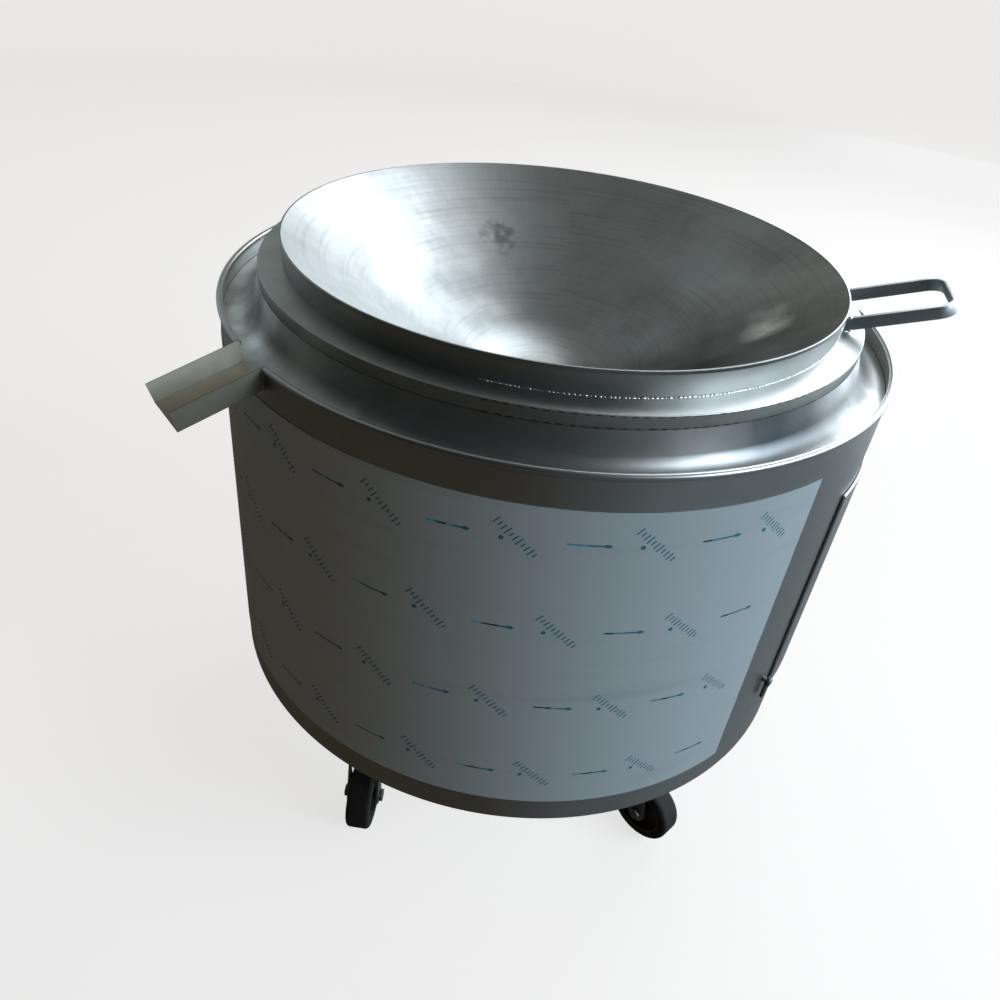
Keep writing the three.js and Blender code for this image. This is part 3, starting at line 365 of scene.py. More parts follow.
def dull(name, hex_colour, worn_hex, roughness, grit, depth, metallic=0.0, wear=0.4):
    """A dull surface: cast, painted or moulded. grit and depth are in mm, and grit too fine to show is
    drawn as coarse as it needs to be."""
    material, tree, shader = blank(name)
    place = own_place(tree)
    grains = add(tree, "TexNoise", {"Vector": place, "Scale": 1 / (grit * MM), "Detail": 4}, "Fac")
    patchy = {"Vector": place, "Scale": 30, "Detail": 5, "Roughness": 0.65}
    patches = add(tree, "TexNoise", patchy, "Fac")
    colour = toned(tree, hex_colour, worn_hex, patches, WEAR_EDGE, wear)
    spread = {"To Min": roughness - DULL_GLOSS_SPREAD, "To Max": roughness + DULL_GLOSS_SPREAD}
    gloss = add(tree, "MapRange", {"Value": patches, **spread})
    rough = add(tree, "Bump", {"Height": grains, "Strength": 0.6, "Distance": depth * MM})
    finish_with(tree, shader, colour, gloss, rough, metallic)
    return material


def ink_finish():
    """Teal printing ink on the film, thin and unevenly laid."""
    material, tree, shader = blank("printing_ink")
    faint = add(tree, "TexNoise", {"Vector": own_place(tree), "Scale": 160, "Detail": 3}, "Fac")
    tones = {"Factor": faint, "A": "#106578", "B": "#2f8296"}
    colour = add(tree, "Mix", tones, "Result", data_type="RGBA")
    tree.links.new(colour, shader.inputs["Base Color"])
    shader.inputs["Roughness"].default_value = 0.5
    return material


# Long lines round the drum, as the mill rolls them
rolled_stainless = steel(
    "rolled_stainless", "#aeb1b0", "#74766f", 0.3, (1.5, 0, 420), round_place, wave_depth=0.7
)
# Cloudy buffed sheet with soft dents, bright where it turns
BUFFED = ("#a7aba9", "#7a776a", 0.34, (30, 60, 60), round_place)
DENTS = {"wave_depth": 1.0, "waves": 14}
polished_stainless = steel("polished_stainless", *BUFFED, **DENTS)
# The same in the gutter, with painted reflections and painted shade: light patches where the workshop
# is mirrored, dark ones for the shadow under the collar's lip
gutter_painted_light_stainless = steel("gutter_painted_light_stainless", *BUFFED, **DENTS, smudges=GUTTER_PAINTED_LIGHT)
# Straight strokes of the polishing wheel from the bowl's floor to its rim, crossed by faint rings, with
# painted reflections and painted shade as light and dark patches
spun_stainless = steel(
    "spun_stainless",
    "#a8acab",
    "#6f716c",
    0.33,
    (260, 2, 2),
    round_place,
    grain_depth=0.05,
    stain=0.6,
    pull=0.6,
    rings=(3, 240, 0),
    smudges=BOWL_PAINTED_LIGHT,
)
# Bare sheet with a milky bloom, with painted shade darkening the outside of its near wall
spout_stainless = steel(
    "spout_stainless", "#d3d9cd", "#5b5e53", 0.5, (60, 60, 60), metal=0.12, soiled_side=SPOUT_PAINTED_SHADE_SIDE
)
# Small bright runs of weld
weld_metal = steel("weld_metal", "#d5d9d6", "#9a9c96", 0.24, (150, 150, 150), stain=0.2)
# Drawn bar with a soft satin sheen along its length
mill_bar = steel("mill_bar", "#a9b0b2", "#6b7174", 0.42, (40, 300, 300), stain=0.5)
# Even grey plating on small parts, slightly cloudy
zinc_plate = steel("zinc_plate", "#a3a8aa", "#73797c", 0.4, (120, 120, 120), wave_depth=0.2)
# The same plating gone dull and brown near the floor
soiled_zinc = steel("soiled_zinc", "#8d9089", "#4a4943", 0.5, (150, 150, 150), stain=0.8)
# Heat-scaled steel, dark and nearly without shine; on the collar's weld stitches its dark is painted
# shade
scaled_steel = steel("scaled_steel", "#5b5751", "#33302d", 0.6, (80, 80, 80), stain=0.8)
# Warm yellow metal with sharp small highlights
turned_brass = steel("turned_brass", "#c79a55", "#8a6a3a", 0.34, (200, 200, 200), wave_depth=0.1)
# Rough dark castings that catch light only on their grain
sand_cast_iron = dull("sand_cast_iron", "#3b3a39", "#241f1c", 0.72, 1.2, 0.4, metallic=0.6)
# Black paint laid by brush: a low broad sheen, greyer where it is rubbed
brushed_black_paint = dull("brushed_black_paint", "#1f2123", "#3a3c3d", 0.5, 2.5, 0.08)
# Matt off-white fibre
ceramic_blanket = dull("ceramic_blanket", "#e2dccb", "#c9bfa8", 0.9, 3, 1.2)
# Smooth near-black plastic with a soft highlight
moulded_knob = dull("moulded_knob", "#161617", "#2a2a2b", 0.42, 0.8, 0.03)
# Near-black nylon of the wheel hubs, a little dusty
moulded_nylon = dull("moulded_nylon", "#202122", "#3b3a37", 0.5, 0.8, 0.04)
# Matt black rubber, greyed by dust from the floor
tread_rubber = dull("tread_rubber", "#191918", "#3a3833", 0.78, 1.5, 0.12, wear=0.6)
film = film_finish()
ink = ink_finish()

FINISHES = {
    "drum_steel": rolled_stainless,
    "polished_steel": polished_stainless,
    "bowl_steel": spun_stainless,
    "spout_steel": spout_stainless,
    "dark_steel": mill_bar,
    "zinc_steel": zinc_plate,
    "caster_steel": soiled_zinc,
    "scaled_steel": scaled_steel,
    "cast_iron": sand_cast_iron,
    "black_paint": brushed_black_paint,
    "film": film,
    "blanket": ceramic_blanket,
    "brass": turned_brass,
    "knob_plastic": moulded_knob,
    "hub_plastic": moulded_nylon,
    "rubber": tread_rubber,
}


# Shapes

def arc(r, z, radius, start, end, steps=ARC_STEPS):
    """Points of a profile on an arc, between two angles in degrees."""
    angles = [math.radians(start + (end - start) * i / steps) for i in range(steps + 1)]
    return [(r + radius * math.cos(a), z + radius * math.sin(a)) for a in angles]


def spot(radius, azimuth, z):
    a = math.radians(azimuth)
    return Vector((radius * math.sin(a), -radius * math.cos(a), z))


def turned(profile, steps=RING_STEPS, azimuths=None):
    """Turns a profile of (radius, height) about Z, all round or between two azimuths."""
    bm = bmesh.new()
    points = [bm.verts.new((r, 0, z)) for r, z in profile]
    on_axis = profile[0][0] == 0 and profile[-1][0] == 0
    after = points[1:] if on_axis else points[1:] + points[:1]
    edges = [bm.edges.new(pair) for pair in zip(points, after)]
    start, end = azimuths or (0, 360)
    bmesh.ops.rotate(bm, verts=points, matrix=Matrix.Rotation(math.radians(start - 90), 3, "Z"))
    bmesh.ops.spin(
        bm,
        geom=points + edges,
        cent=(0, 0, 0),
        axis=(0, 0, 1),
        angle=math.radians(end - start),
        steps=steps,
        use_merge=azimuths is None,
    )
    bmesh.ops.remove_doubles(bm, verts=bm.verts, dist=WELD_DISTANCE)
    if azimuths:
        bmesh.ops.holes_fill(bm, edges=[e for e in bm.edges if e.is_boundary])
    bmesh.ops.recalc_face_normals(bm, faces=bm.faces)
    return bm


def slab(outline, bottom, top):
    """A flat outline of (x, y) points raised between two heights."""
    bm = bmesh.new()
    face = bm.faces.new([bm.verts.new((x, y, bottom)) for x, y in outline])
    raised = bmesh.ops.extrude_face_region(bm, geom=[face])["geom"]
    lifted = [v for v in raised if isinstance(v, bmesh.types.BMVert)]
    bmesh.ops.translate(bm, verts=lifted, vec=(0, 0, top - bottom))
    bmesh.ops.recalc_face_normals(bm, faces=bm.faces)
    return bm


def soften(bm, width, sharp=40, segments=2):
    """Rounds the edges that turn by more than an angle in degrees."""
    keen = [e for e in bm.edges if e.is_manifold and e.calc_face_angle() > math.radians(sharp)]
    bmesh.ops.bevel(
        bm,
        geom=keen,
        offset=width,
        offset_type="OFFSET",
        segments=segments,
        profile=0.5,
        affect="EDGES",
        clamp_overlap=True,
        material=-1,
    )
    return bm


def shift(bm, matrix):
    bmesh.ops.transform(bm, matrix=matrix, verts=bm.verts)
    return bm


def shown(name, bm, smooth_below=35):
    """A mesh object from a bmesh, smooth but for its sharp edges."""
    mesh = bpy.data.meshes.new(name)
    for face in bm.faces:
        face.smooth = True
    bm.to_mesh(mesh)
    bm.free()
    mesh.set_sharp_from_angle(angle=math.radians(smooth_below))
    made = bpy.data.objects.new(name, mesh)
    bpy.context.scene.collection.objects.link(made)
    return made


def dress(name, bm, node, finish=None, smooth_below=35):
    """A new piece that stands for a node, rides with it and takes its finish."""
    made = shown(name, bm, smooth_below)
    made.data.materials.append(finish or FINISHES[slot_of[node]])
    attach(made, body_of[node])
    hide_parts(node)
    return made


def extra(name, bm, body, finish, smooth_below=35):
    """A small piece that the frame leaves to the picture."""
    made = shown(name, bm, smooth_below)
    made.data.materials.append(finish)
    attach(made, body)
    return made


def carved(bm, *cutters):
    """Takes each cutter out of a closed shape."""
    piece = shown("blank_sheet", bm)
    for cutter in cutters:
        tool = shown("cutter", cutter)
        cut = piece.modifiers.new("cut", "BOOLEAN")
        cut.object = tool
        cut.operation = "DIFFERENCE"
        cut.solver = "EXACT"
        drawn = piece.evaluated_get(bpy.context.evaluated_depsgraph_get())
        mesh = bpy.data.meshes.new_from_object(drawn)
        piece.modifiers.remove(cut)
        piece.data = mesh
        bpy.data.objects.remove(tool)
    result = bmesh.new()
    result.from_mesh(piece.data)
    bmesh.ops.remove_doubles(result, verts=result.verts, dist=WELD_DISTANCE)
    bmesh.ops.dissolve_degenerate(result, edges=result.edges, dist=WELD_DISTANCE)
    bpy.data.objects.remove(piece)
    return result


def refined(node, width, sharp=50, segments=2):
    """A node's own solid with its flats rejoined and its sharp edges rounded."""
    bm = bmesh.new()
    bm.from_mesh(frame["nodes"][node].data)
    bmesh.ops.remove_doubles(bm, verts=bm.verts, dist=WELD_DISTANCE)
    bmesh.ops.dissolve_limit(bm, angle_limit=math.radians(0.5), verts=bm.verts, edges=bm.edges)
    soften(bm, width, sharp, segments)
    dress(f"{node}_finished", bm, node, smooth_below=sharp)


def wedge(azimuths, heights, inner, outer, steps=12):
    """A block between two azimuths, two heights and two radii."""
    near, far = azimuths
    turns = [near + (far - near) * i / steps for i in range(steps + 1)]
    outline = [spot(outer, a, 0) for a in turns] + [spot(inner, a, 0) for a in reversed(turns)]
    return slab([(p.x, p.y) for p in outline], *heights)


def pipe_along_y(radius, start, end, x, z, steps=PIPE_STEPS):
    bm = turned([(0, start), (radius, start), (radius, end), (0, end)], steps)
    return shift(bm, Matrix.Translation((x, 0, z)) @ Matrix.Rotation(math.radians(-90), 4, "X"))


def spout_place():
    turn = Matrix.Rotation(math.radians(SPOUT_AZIMUTH - 90), 4, "Z")
    inner_wall = DRUM_RADIUS - DRUM_WALL - FIT
    return turn @ Matrix.Translation((inner_wall, 0, gutter_top)) @ Matrix.Rotation(SPOUT_FALL, 4, "Y")


def block(x0, x1, y0, y1, z0, z1):
    return slab([(x0, y0), (x1, y0), (x1, y1), (x0, y1)], z0, z1)


# Drum

def drum_shell():
    beyond = DRUM_RADIUS + OVERRUN
    inner = DRUM_RADIUS - DRUM_WALL
    bead_r = DRUM_RADIUS - DRUM_WALL / 2
    bead_z = DRUM_HEIGHT - RIM_BEAD_RADIUS
    mouth = math.degrees(math.asin(DRUM_WALL / 2 / RIM_BEAD_RADIUS))
    wall = turned(
        [(inner, 0), (DRUM_RADIUS, 0)]
        + arc(bead_r, bead_z, RIM_BEAD_RADIUS, mouth - 90, 270 - mouth, 3 * ARC_STEPS)
    )
    lap = math.degrees(DOOR_LAP / DRUM_RADIUS)
    opening = wedge(
        (DOOR_AZIMUTHS[0] + lap, DOOR_AZIMUTHS[1] - lap),
        (DOOR_HEIGHTS[0] + DOOR_LAP, DOOR_HEIGHTS[1] - DOOR_LAP),
        LINER_RADIUS,
        beyond,
    )
    half = SPOUT_WIDTH / 2 + FIT
    notch = shift(
        block(-OVERRUN, SPOUT_LENGTH, -half, half, -SPOUT_SHEET - FIT, SPOUT_HEIGHT + OVERRUN),
        spout_place(),
    )
    shell = carved(
        wall,
        opening,
        notch,
        pipe_along_y(AIR_PIPE_RADIUS + FIT, LINER_RADIUS, beyond, 0, AIR_PIPE_HEIGHT),
        pipe_along_y(FUEL_PIPE_RADIUS + FIT, LINER_RADIUS, beyond, FUEL_PIPE_OFFSET, FUEL_PIPE_HEIGHT),
        pipe_along_y(FLUE_RADIUS + FIT, LINER_RADIUS, beyond, 0, FLUE_HEIGHT),
    )
    dress("drum_wall", shell, "drum_shell")


def fire_door():
    outer = DRUM_RADIUS + FIT + DOOR_SHEET
    profile = [
        (DRUM_RADIUS + FIT, DOOR_HEIGHTS[0]),
        (outer, DOOR_HEIGHTS[0]),
        (outer, DOOR_HEIGHTS[1]),
        (DRUM_RADIUS + FIT, DOOR_HEIGHTS[1]),
    ]
    panel = soften(turned(profile, 48, DOOR_AZIMUTHS), DOOR_EDGE, 60, 3)
    dress("fire_door_panel", panel, "fire_door")


def film_sheet():
    inner = DRUM_RADIUS + FIT
    outer = inner + FILM_THICKNESS
    bottom, top = FILM_HEIGHTS
    profile = [(inner, bottom), (outer, bottom), (outer, top), (inner, top)]
    dress("film_skin", turned(profile, RING_STEPS // 2, FILM_AZIMUTHS), "protective_film")


# Gutter, collar, band and bowl

def gutter():
    wall_r = COLLAR_RADIUS - COLLAR_SHEET
    bend_r = wall_r + GUTTER_SHEET + GUTTER_LEAN + GUTTER_COVE
    bend_z = gutter_top + GUTTER_COVE
    outer = DRUM_RADIUS - DRUM_WALL - 2 * FIT
    lean = math.degrees(math.atan(GUTTER_LEAN / (GUTTER_UPSTAND - GUTTER_COVE)))
    profile = (
        arc(bend_r, bend_z, GUTTER_COVE + GUTTER_SHEET, 180 + lean, 270, 2 * ARC_STEPS)
        + [(outer, gutter_top - GUTTER_SHEET), (outer, gutter_top)]
        + arc(bend_r, bend_z, GUTTER_COVE, 270, 180 + lean, 2 * ARC_STEPS)
        + [(wall_r + GUTTER_SHEET, gutter_top + GUTTER_UPSTAND), (wall_r, gutter_top + GUTTER_UPSTAND)]
    )
    bm = turned(profile, 2 * RING_STEPS)
    crease_gutter(bm, wall_r, outer)
    dress("gutter_trough", bm, "gutter_floor", gutter_painted_light_stainless)


CREASES = 22
CREASE_HEIGHT = 0.9 * MM
CREASE_WIDTH_DEG = 1.6
# Heights and widths of creases, as shares of the usual ones
CREASE_HEIGHTS = (-0.5, 1)
CREASE_WIDTHS = (0.6, 1.6)
# Creases that the photo shows: azimuth, height and width
PUCKERS = (
    (61, 0.8, 1.3),
    (67, -0.8, 1.5),
    (73, 1.0, 1.4),
    (80, -0.8, 1.6),
    (-74, 1.6, 1.8),
    (-64, -1.6, 2.0),
)


def crease_gutter(bm, inner, outer):
    """Radial puckers where the flat ring was drawn up to the collar by hand, deepest at both ends."""
    ranges = ((-180, 180), CREASE_HEIGHTS, CREASE_WIDTHS)
    creases = [tuple(random.uniform(*limits) for limits in ranges) for _ in range(CREASES)]
    creases += PUCKERS
    for v in bm.verts:
        r = math.hypot(v.co.x, v.co.y)
        share = (r - inner) / (outer - inner)
        if not 0 < share < 1:
            continue
        azimuth = math.degrees(math.atan2(v.co.x, -v.co.y))
        lift = 0
        for middle, height, width in creases:
            off = (azimuth - middle + 180) % 360 - 180
            lift += height * math.exp(-((off / (CREASE_WIDTH_DEG * width)) ** 2))
        v.co.z += lift * CREASE_HEIGHT * math.sin(math.pi * share)


def collar_height(radius):
    share = (COLLAR_RADIUS - radius) / (COLLAR_RADIUS - BAND_FOOT_RADIUS)
    return collar_edge + COLLAR_CROWN * share


def collar():
    inner = BAND_FOOT_RADIUS + FIT
    lip_inner = COLLAR_RADIUS - COLLAR_SHEET
    lip_bottom = collar_edge - COLLAR_LIP
    bend = arc(COLLAR_RADIUS - COLLAR_BEND, collar_edge - COLLAR_BEND, COLLAR_BEND, 0, 85, 5)
    profile = (
        [(inner, collar_height(inner) - COLLAR_SHEET), (lip_inner, collar_edge - COLLAR_SHEET)]
        + [(lip_inner, lip_bottom), (COLLAR_RADIUS, lip_bottom)]
        + bend
        + [(inner, collar_height(inner))]
    )
    dress("collar_sheet", turned(profile), "collar_ring")


def skirt():
    outer = COLLAR_RADIUS - COLLAR_SHEET - FIT
    low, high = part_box("gutter_inner_wall")
    profile = [
        (outer - COLLAR_SHEET, low.z),
        (outer, low.z),
        (outer, high.z),
        (outer - COLLAR_SHEET, high.z),
    ]
    dress("collar_skirt", turned(profile), "gutter_inner_wall")


def band_and_bowl():
    mouth = BOWL_RADIUS - BOWL_SHEET
    slope = math.tan(BOWL_SIDE)
    rim_under = bowl_top - (BOWL_RIM_LAND - BOWL_SHEET) * slope - BOWL_SHEET / math.cos(BOWL_SIDE)
    foot = collar_height(BAND_FOOT_RADIUS) - COLLAR_SHEET
    band = [
        (BAND_FOOT_RADIUS - BAND_SHEET, foot),
        (BAND_FOOT_RADIUS, foot),
        (BOWL_RADIUS - FIT, rim_under - FIT),
        (BOWL_RADIUS - FIT - BAND_SHEET, rim_under - FIT),
    ]
    dress("bowl_band_sheet", turned(band), "bowl_band")
    ball = BOWL_FLOOR_RADIUS / math.sin(BOWL_SIDE)
    centre = bowl_top - (mouth - BOWL_FLOOR_RADIUS) * slope + ball * math.cos(BOWL_SIDE)
    side = math.degrees(BOWL_SIDE) - 90
    under = arc(0, centre, ball + BOWL_SHEET, -90, side, 3 * ARC_STEPS)
    inside = arc(0, centre, ball, side, -90, 3 * ARC_STEPS)
    profile = (
        [(0, under[0][1])]
        + under[1:]
        + [(BOWL_RADIUS - BOWL_RIM_LAND, rim_under), (BOWL_RADIUS, rim_under)]
        + arc(BOWL_RADIUS - BOWL_RIM_ROUND, bowl_top - BOWL_RIM_ROUND, BOWL_RIM_ROUND, 0, 90, 4)
        + arc(mouth + BOWL_RIM_ROUND, bowl_top - BOWL_RIM_ROUND, BOWL_RIM_ROUND, 90, 146, 3)
        + inside[:-1]
        + [(0, inside[-1][1])]
    )
    dress("spun_bowl", turned(profile), "bowl")


# Weld beads along the seams

# A weld's length, width and height, and the pitch of a row
RUN_OF_WELD = (7 * MM, 2 * MM, 1 * MM)
RUN_PITCH = 4.5 * MM
STITCH = (10 * MM, 1.3 * MM, 0.7 * MM)
STITCH_PITCH = 11 * MM
FOOT_WELD_OUT = 0.8 * MM
LIP_WELD_RISE = 0.4 * MM
# How welds vary: size, width and pitch as shares, tip in degrees and drift in mm
WELD_SIZES = (0.5, 1)
WELD_WIDTHS = (0.8, 1.1)
WELD_STEPS = (0.85, 1.2)
WELD_TIP = 6
WELD_DRIFT = 0.15


def bead(bm, matrix):
    """Adds a drop of weld metal: a unit ball squeezed into its place."""
    drop = bmesh.new()
    bmesh.ops.create_uvsphere(drop, u_segments=8, v_segments=5, radius=1)
    placed = bpy.data.meshes.new("drop")
    shift(drop, matrix).to_mesh(placed)
    bm.from_mesh(placed)
    drop.free()
    bpy.data.meshes.remove(placed)


def bead_ring(name, radius, z, lean, azimuths, pitch, shape, finish):
    """Welds in a row round a seam, each of a length, width and height. lean tips them out of level."""
    length, width, height = [size / 2 for size in shape]
    bm = bmesh.new()
    step = math.degrees(pitch / radius)
    azimuth = azimuths[0]
    while azimuth < azimuths[1]:
        size = random.uniform(*WELD_SIZES)
        squeezed = (length * size, width * random.uniform(*WELD_WIDTHS), height * size, 1)
        tip = Matrix.Rotation(math.radians(lean + random.uniform(-WELD_TIP, WELD_TIP)), 4, "X")
        turn = Matrix.Rotation(math.radians(azimuth), 4, "Z")
        drift = random.uniform(-WELD_DRIFT, WELD_DRIFT) * MM
        place = Matrix.Translation(spot(radius, azimuth, z + drift)) @ turn @ tip
        bead(bm, place @ Matrix.Diagonal(squeezed))
        azimuth += step * random.uniform(*WELD_STEPS)
    extra(name, bm, "stove", finish, 180)


def weld_beads():
    foot_r = BAND_FOOT_RADIUS + FOOT_WELD_OUT
    foot = collar_height(BAND_FOOT_RADIUS)
    edge = collar_edge - COLLAR_BEND
    lip = collar_edge - COLLAR_LIP + LIP_WELD_RISE
    bead_ring("band_foot_welds", foot_r, foot, 45, (-10, 80), RUN_PITCH, RUN_OF_WELD, weld_metal)
    # Painted shade: the rows of stitches at the collar's edge and lip are dark scaled steel standing
    # for the shadows of the weld spots
    painted_shade_stitches = (STITCH_PITCH, STITCH, scaled_steel)
    bead_ring("collar_edge_welds", COLLAR_RADIUS, edge, 80, (-8, 50), *painted_shade_stitches)
    bead_ring("lip_welds", COLLAR_RADIUS, lip, 95, (-8, 32), *painted_shade_stitches)


# Spout and handle

def spout():
    half = SPOUT_WIDTH / 2
    section = [(-half, SPOUT_HEIGHT)]
    section += arc(-half + SPOUT_BEND, SPOUT_BEND - SPOUT_SHEET, SPOUT_BEND, 180, 270, 5)
    section += arc(half - SPOUT_BEND, SPOUT_BEND - SPOUT_SHEET, SPOUT_BEND, 270, 360, 5)
    section += [(half, SPOUT_HEIGHT), (half - SPOUT_SHEET, SPOUT_HEIGHT)]
    inner_bend = SPOUT_BEND - SPOUT_SHEET
    section += arc(half - SPOUT_BEND, inner_bend, inner_bend, 0, -90, 3)
    section += arc(-half + SPOUT_BEND, inner_bend, inner_bend, -90, -180, 3)
    section += [(-half + SPOUT_SHEET, SPOUT_HEIGHT)]
    channel = soften(slab(section, -OVERRUN, SPOUT_LENGTH), FINE_ROUND, 60)
    stand = Matrix(((0, 0, 1, 0), (1, 0, 0, 0), (0, 1, 0, 0), (0, 0, 0, 1)))
    shift(channel, spout_place() @ stand)
    wall = DRUM_RADIUS - DRUM_WALL - FIT
    well = turned([(0, 0), (wall, 0), (wall, DRUM_HEIGHT + OVERRUN), (0, DRUM_HEIGHT + OVERRUN)])
    dress("spout_channel", carved(channel, well), "drain_spout")


def handle():
    outer = HANDLE_SPREAD / 2 + HANDLE_BAR_THICKNESS / 2
    inner = outer - HANDLE_BAR_THICKNESS
    bend = HANDLE_CORNER - HANDLE_BAR_THICKNESS
    knee = HANDLE_REACH - HANDLE_CORNER
    outline = [(-OVERRUN, -outer)]
    outline += arc(knee, -outer + HANDLE_CORNER, HANDLE_CORNER, -90, 0)
    outline += arc(knee, outer - HANDLE_CORNER, HANDLE_CORNER, 0, 90)
    outline += [(-OVERRUN, outer), (-OVERRUN, inner)]
    outline += arc(knee, inner - bend, bend, 90, 0)
    outline += arc(knee, -inner + bend, bend, 0, -90)
    outline += [(-OVERRUN, -inner)]
    bar = soften(slab(outline, -HANDLE_BAR_HEIGHT / 2, HANDLE_BAR_HEIGHT / 2), CAST_ROUND, 60)
    place = (
        Matrix.Rotation(math.radians(HANDLE_AZIMUTH - 90), 4, "Z")
        @ Matrix.Translation((BOWL_RADIUS, 0, bowl_top - HANDLE_ROOT_DROP))
        @ Matrix.Rotation(-HANDLE_RISE, 4, "Y")
    )
    shift(bar, place)
    seat = BOWL_RADIUS + FIT
    low, high = DRUM_HEIGHT, bowl_top + OVERRUN
    pan = turned([(0, low), (seat, low), (seat, high), (0, high)])
    dress("handle_bar", carved(bar, pan), "lifting_handle")
    welds = bmesh.new()
    for side in (-1, 1):
        for drop, reach in HANDLE_WELDS:
            middle = Matrix.Translation((reach / 2, side * HANDLE_SPREAD / 2, drop))
            size = Matrix.Diagonal((reach, 0.8 * HANDLE_BAR_THICKNESS, HANDLE_WELD_HEIGHT, 1))
            bead(welds, place @ middle @ size)
    extra("handle_welds", welds, "stove", weld_metal, 180)


# Pipes

def pipes():
    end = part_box("flue_stub")[1].y
    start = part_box("flue_stub")[0].y
    flange = DRUM_RADIUS + FIT
    bore = FLUE_RADIUS - PIPE_WALL
    flue = turned(
        [
            (bore, start),
            (FLUE_RADIUS, start),
            (FLUE_RADIUS, flange),
            (FLUE_RADIUS + FLUE_FLANGE, flange),
            (FLUE_RADIUS + FLUE_FLANGE, flange + PIPE_WALL),
            (FLUE_RADIUS, flange + PIPE_WALL),
            (FLUE_RADIUS, end),
            (bore, end),
        ],
        2 * PIPE_STEPS,
    )
    stand = Matrix.Rotation(math.radians(-90), 4, "X")
    shift(soften(flue, SHEET_ROUND), Matrix.Translation((0, 0, FLUE_HEIGHT)) @ stand)
    dress("flue_pipe", flue, "flue_stub")

    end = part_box("air_pipe")[1].y
    bore = AIR_PIPE_RADIUS - PIPE_WALL
    profile = [(bore, 0), (AIR_PIPE_RADIUS, 0), (AIR_PIPE_RADIUS, end - 4 * HOSE_BEAD)]
    for i in range(1, ARC_STEPS):
        swell = HOSE_BEAD * math.sin(math.pi * i / ARC_STEPS)
        profile.append((AIR_PIPE_RADIUS + swell, end - (4 - 2 * i / ARC_STEPS) * HOSE_BEAD))
    profile += [(AIR_PIPE_RADIUS, end - 2 * HOSE_BEAD), (AIR_PIPE_RADIUS, end), (bore, end)]
    air = shift(turned(profile, PIPE_STEPS), Matrix.Translation((0, 0, AIR_PIPE_HEIGHT)) @ stand)
    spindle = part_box("damper_flap")
    middle = (spindle[0] + spindle[1]) / 2
    tall = 2 * AIR_PIPE_HEIGHT
    bearing = DAMPER_SPINDLE_RADIUS + FIT
    hole = turned([(0, 0), (bearing, 0), (bearing, tall), (0, tall)], 24)
    shift(hole, Matrix.Translation((middle.x, middle.y, 0)))
    seat = POT_RADIUS + FIT
    pot = turned([(0, 0), (seat, 0), (seat, tall), (0, tall)], 96)
    dress("air_duct", carved(air, pot, hole), "air_pipe")


# Casters

def casters():
    half = WHEEL_WIDTH / 2
    bed = WHEEL_RADIUS - TYRE_DEPTH
    shoulder = WHEEL_RADIUS - TREAD_ROUND
    tyre = [(bed, -half), (shoulder, -half)]
    tyre += arc(shoulder, -half + TREAD_ROUND, TREAD_ROUND, -90, 0)[1:]
    tyre += arc(shoulder, half - TREAD_ROUND, TREAD_ROUND, 0, 90)[:-1]
    tyre += [(shoulder, half), (bed, half)]
    rim = bed - FIT
    hub = [
        (AXLE_RADIUS + FIT, -half),
        (HUB_BOSS_RADIUS, -half),
        (HUB_BOSS_RADIUS, -HUB_WEB / 2),
        (rim - HUB_RIM, -HUB_WEB / 2),
        (rim - HUB_RIM, -half),
        (rim, -half),
        (rim, half),
        (rim - HUB_RIM, half),
        (rim - HUB_RIM, HUB_WEB / 2),
        (HUB_BOSS_RADIUS, HUB_WEB / 2),
        (HUB_BOSS_RADIUS, half),
        (AXLE_RADIUS + FIT, half),
    ]
    for i, (leg_azimuth, trail) in enumerate(zip(LEG_AZIMUTHS, CASTER_TRAILS), 1):
        low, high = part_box(f"caster_tyre_{i}")
        axle_height = (low.z + high.z) / 2
        place = (
            Matrix.Translation(spot(LEG_CIRCLE_RADIUS, leg_azimuth, axle_height))
            @ Matrix.Rotation(math.radians(trail - 90), 4, "Z")
            @ Matrix.Translation((CASTER_TRAIL, 0, 0))
            @ Matrix.Rotation(math.radians(90), 4, "X")
        )
        dress(f"tyre_{i}", shift(turned(tyre, 96), place), f"caster_tyre_{i}")
        dress(f"hub_{i}", shift(soften(turned(hub, 72), CAST_ROUND), place), f"caster_hub_{i}")
        refined(f"caster_fork_{i}", FORK_ROUND, 60)
        refined(f"caster_plate_{i}", CAST_ROUND, 60)
        refined(f"caster_axle_{i}", SHEET_ROUND, 50)
        refined(f"leg_{i}", LEG_ROUND, 60, 3)


# Prints on the film: plain direction arrows and rows of ticks

ARROW_LENGTH = 42 * MM
ARROW_SHAFT = 1.9 * MM
ARROW_HEAD = 8 * MM
ARROW_HEAD_WIDTH = 4.2 * MM
ARROW_PARTS = 7
ARROW_SLANT_DEG = 2
TICKS = 11
TICK_ROW = 52 * MM
TICK_SLOPE = math.radians(-42)
TICK_WIDTH = 1.5 * MM
TICK_HEIGHTS = (10 * MM, 6 * MM, 8 * MM)
TICK_SHIFT_DEG = 9.1
DOT = 5 * MM
DOT_DROP = 10 * MM
PRINT_PITCH_DEG = 18.85
PRINT_ROWS = ((421 * MM, -66.5), (310 * MM, -58.9), (199 * MM, -67.1), (86 * MM, -58.6))
PRINTS_BEFORE = 4
FIRST_MARGIN_DEG = 6
LAST_MARGIN_DEG = 4
FILM_OUTER = DRUM_RADIUS + FIT + FILM_THICKNESS


def lay_print(bm, verts, azimuth, z, slope=0.0):
    """Lays flat marks on the film's round side: x runs along the side and y up."""
    turn = Matrix.Rotation(slope, 3, "Z")
    for v in verts:
        flat = turn @ v.co
        r = FILM_OUTER + v.co.z
        v.co = spot(r, azimuth + math.degrees(flat.x / FILM_OUTER), z + flat.y)


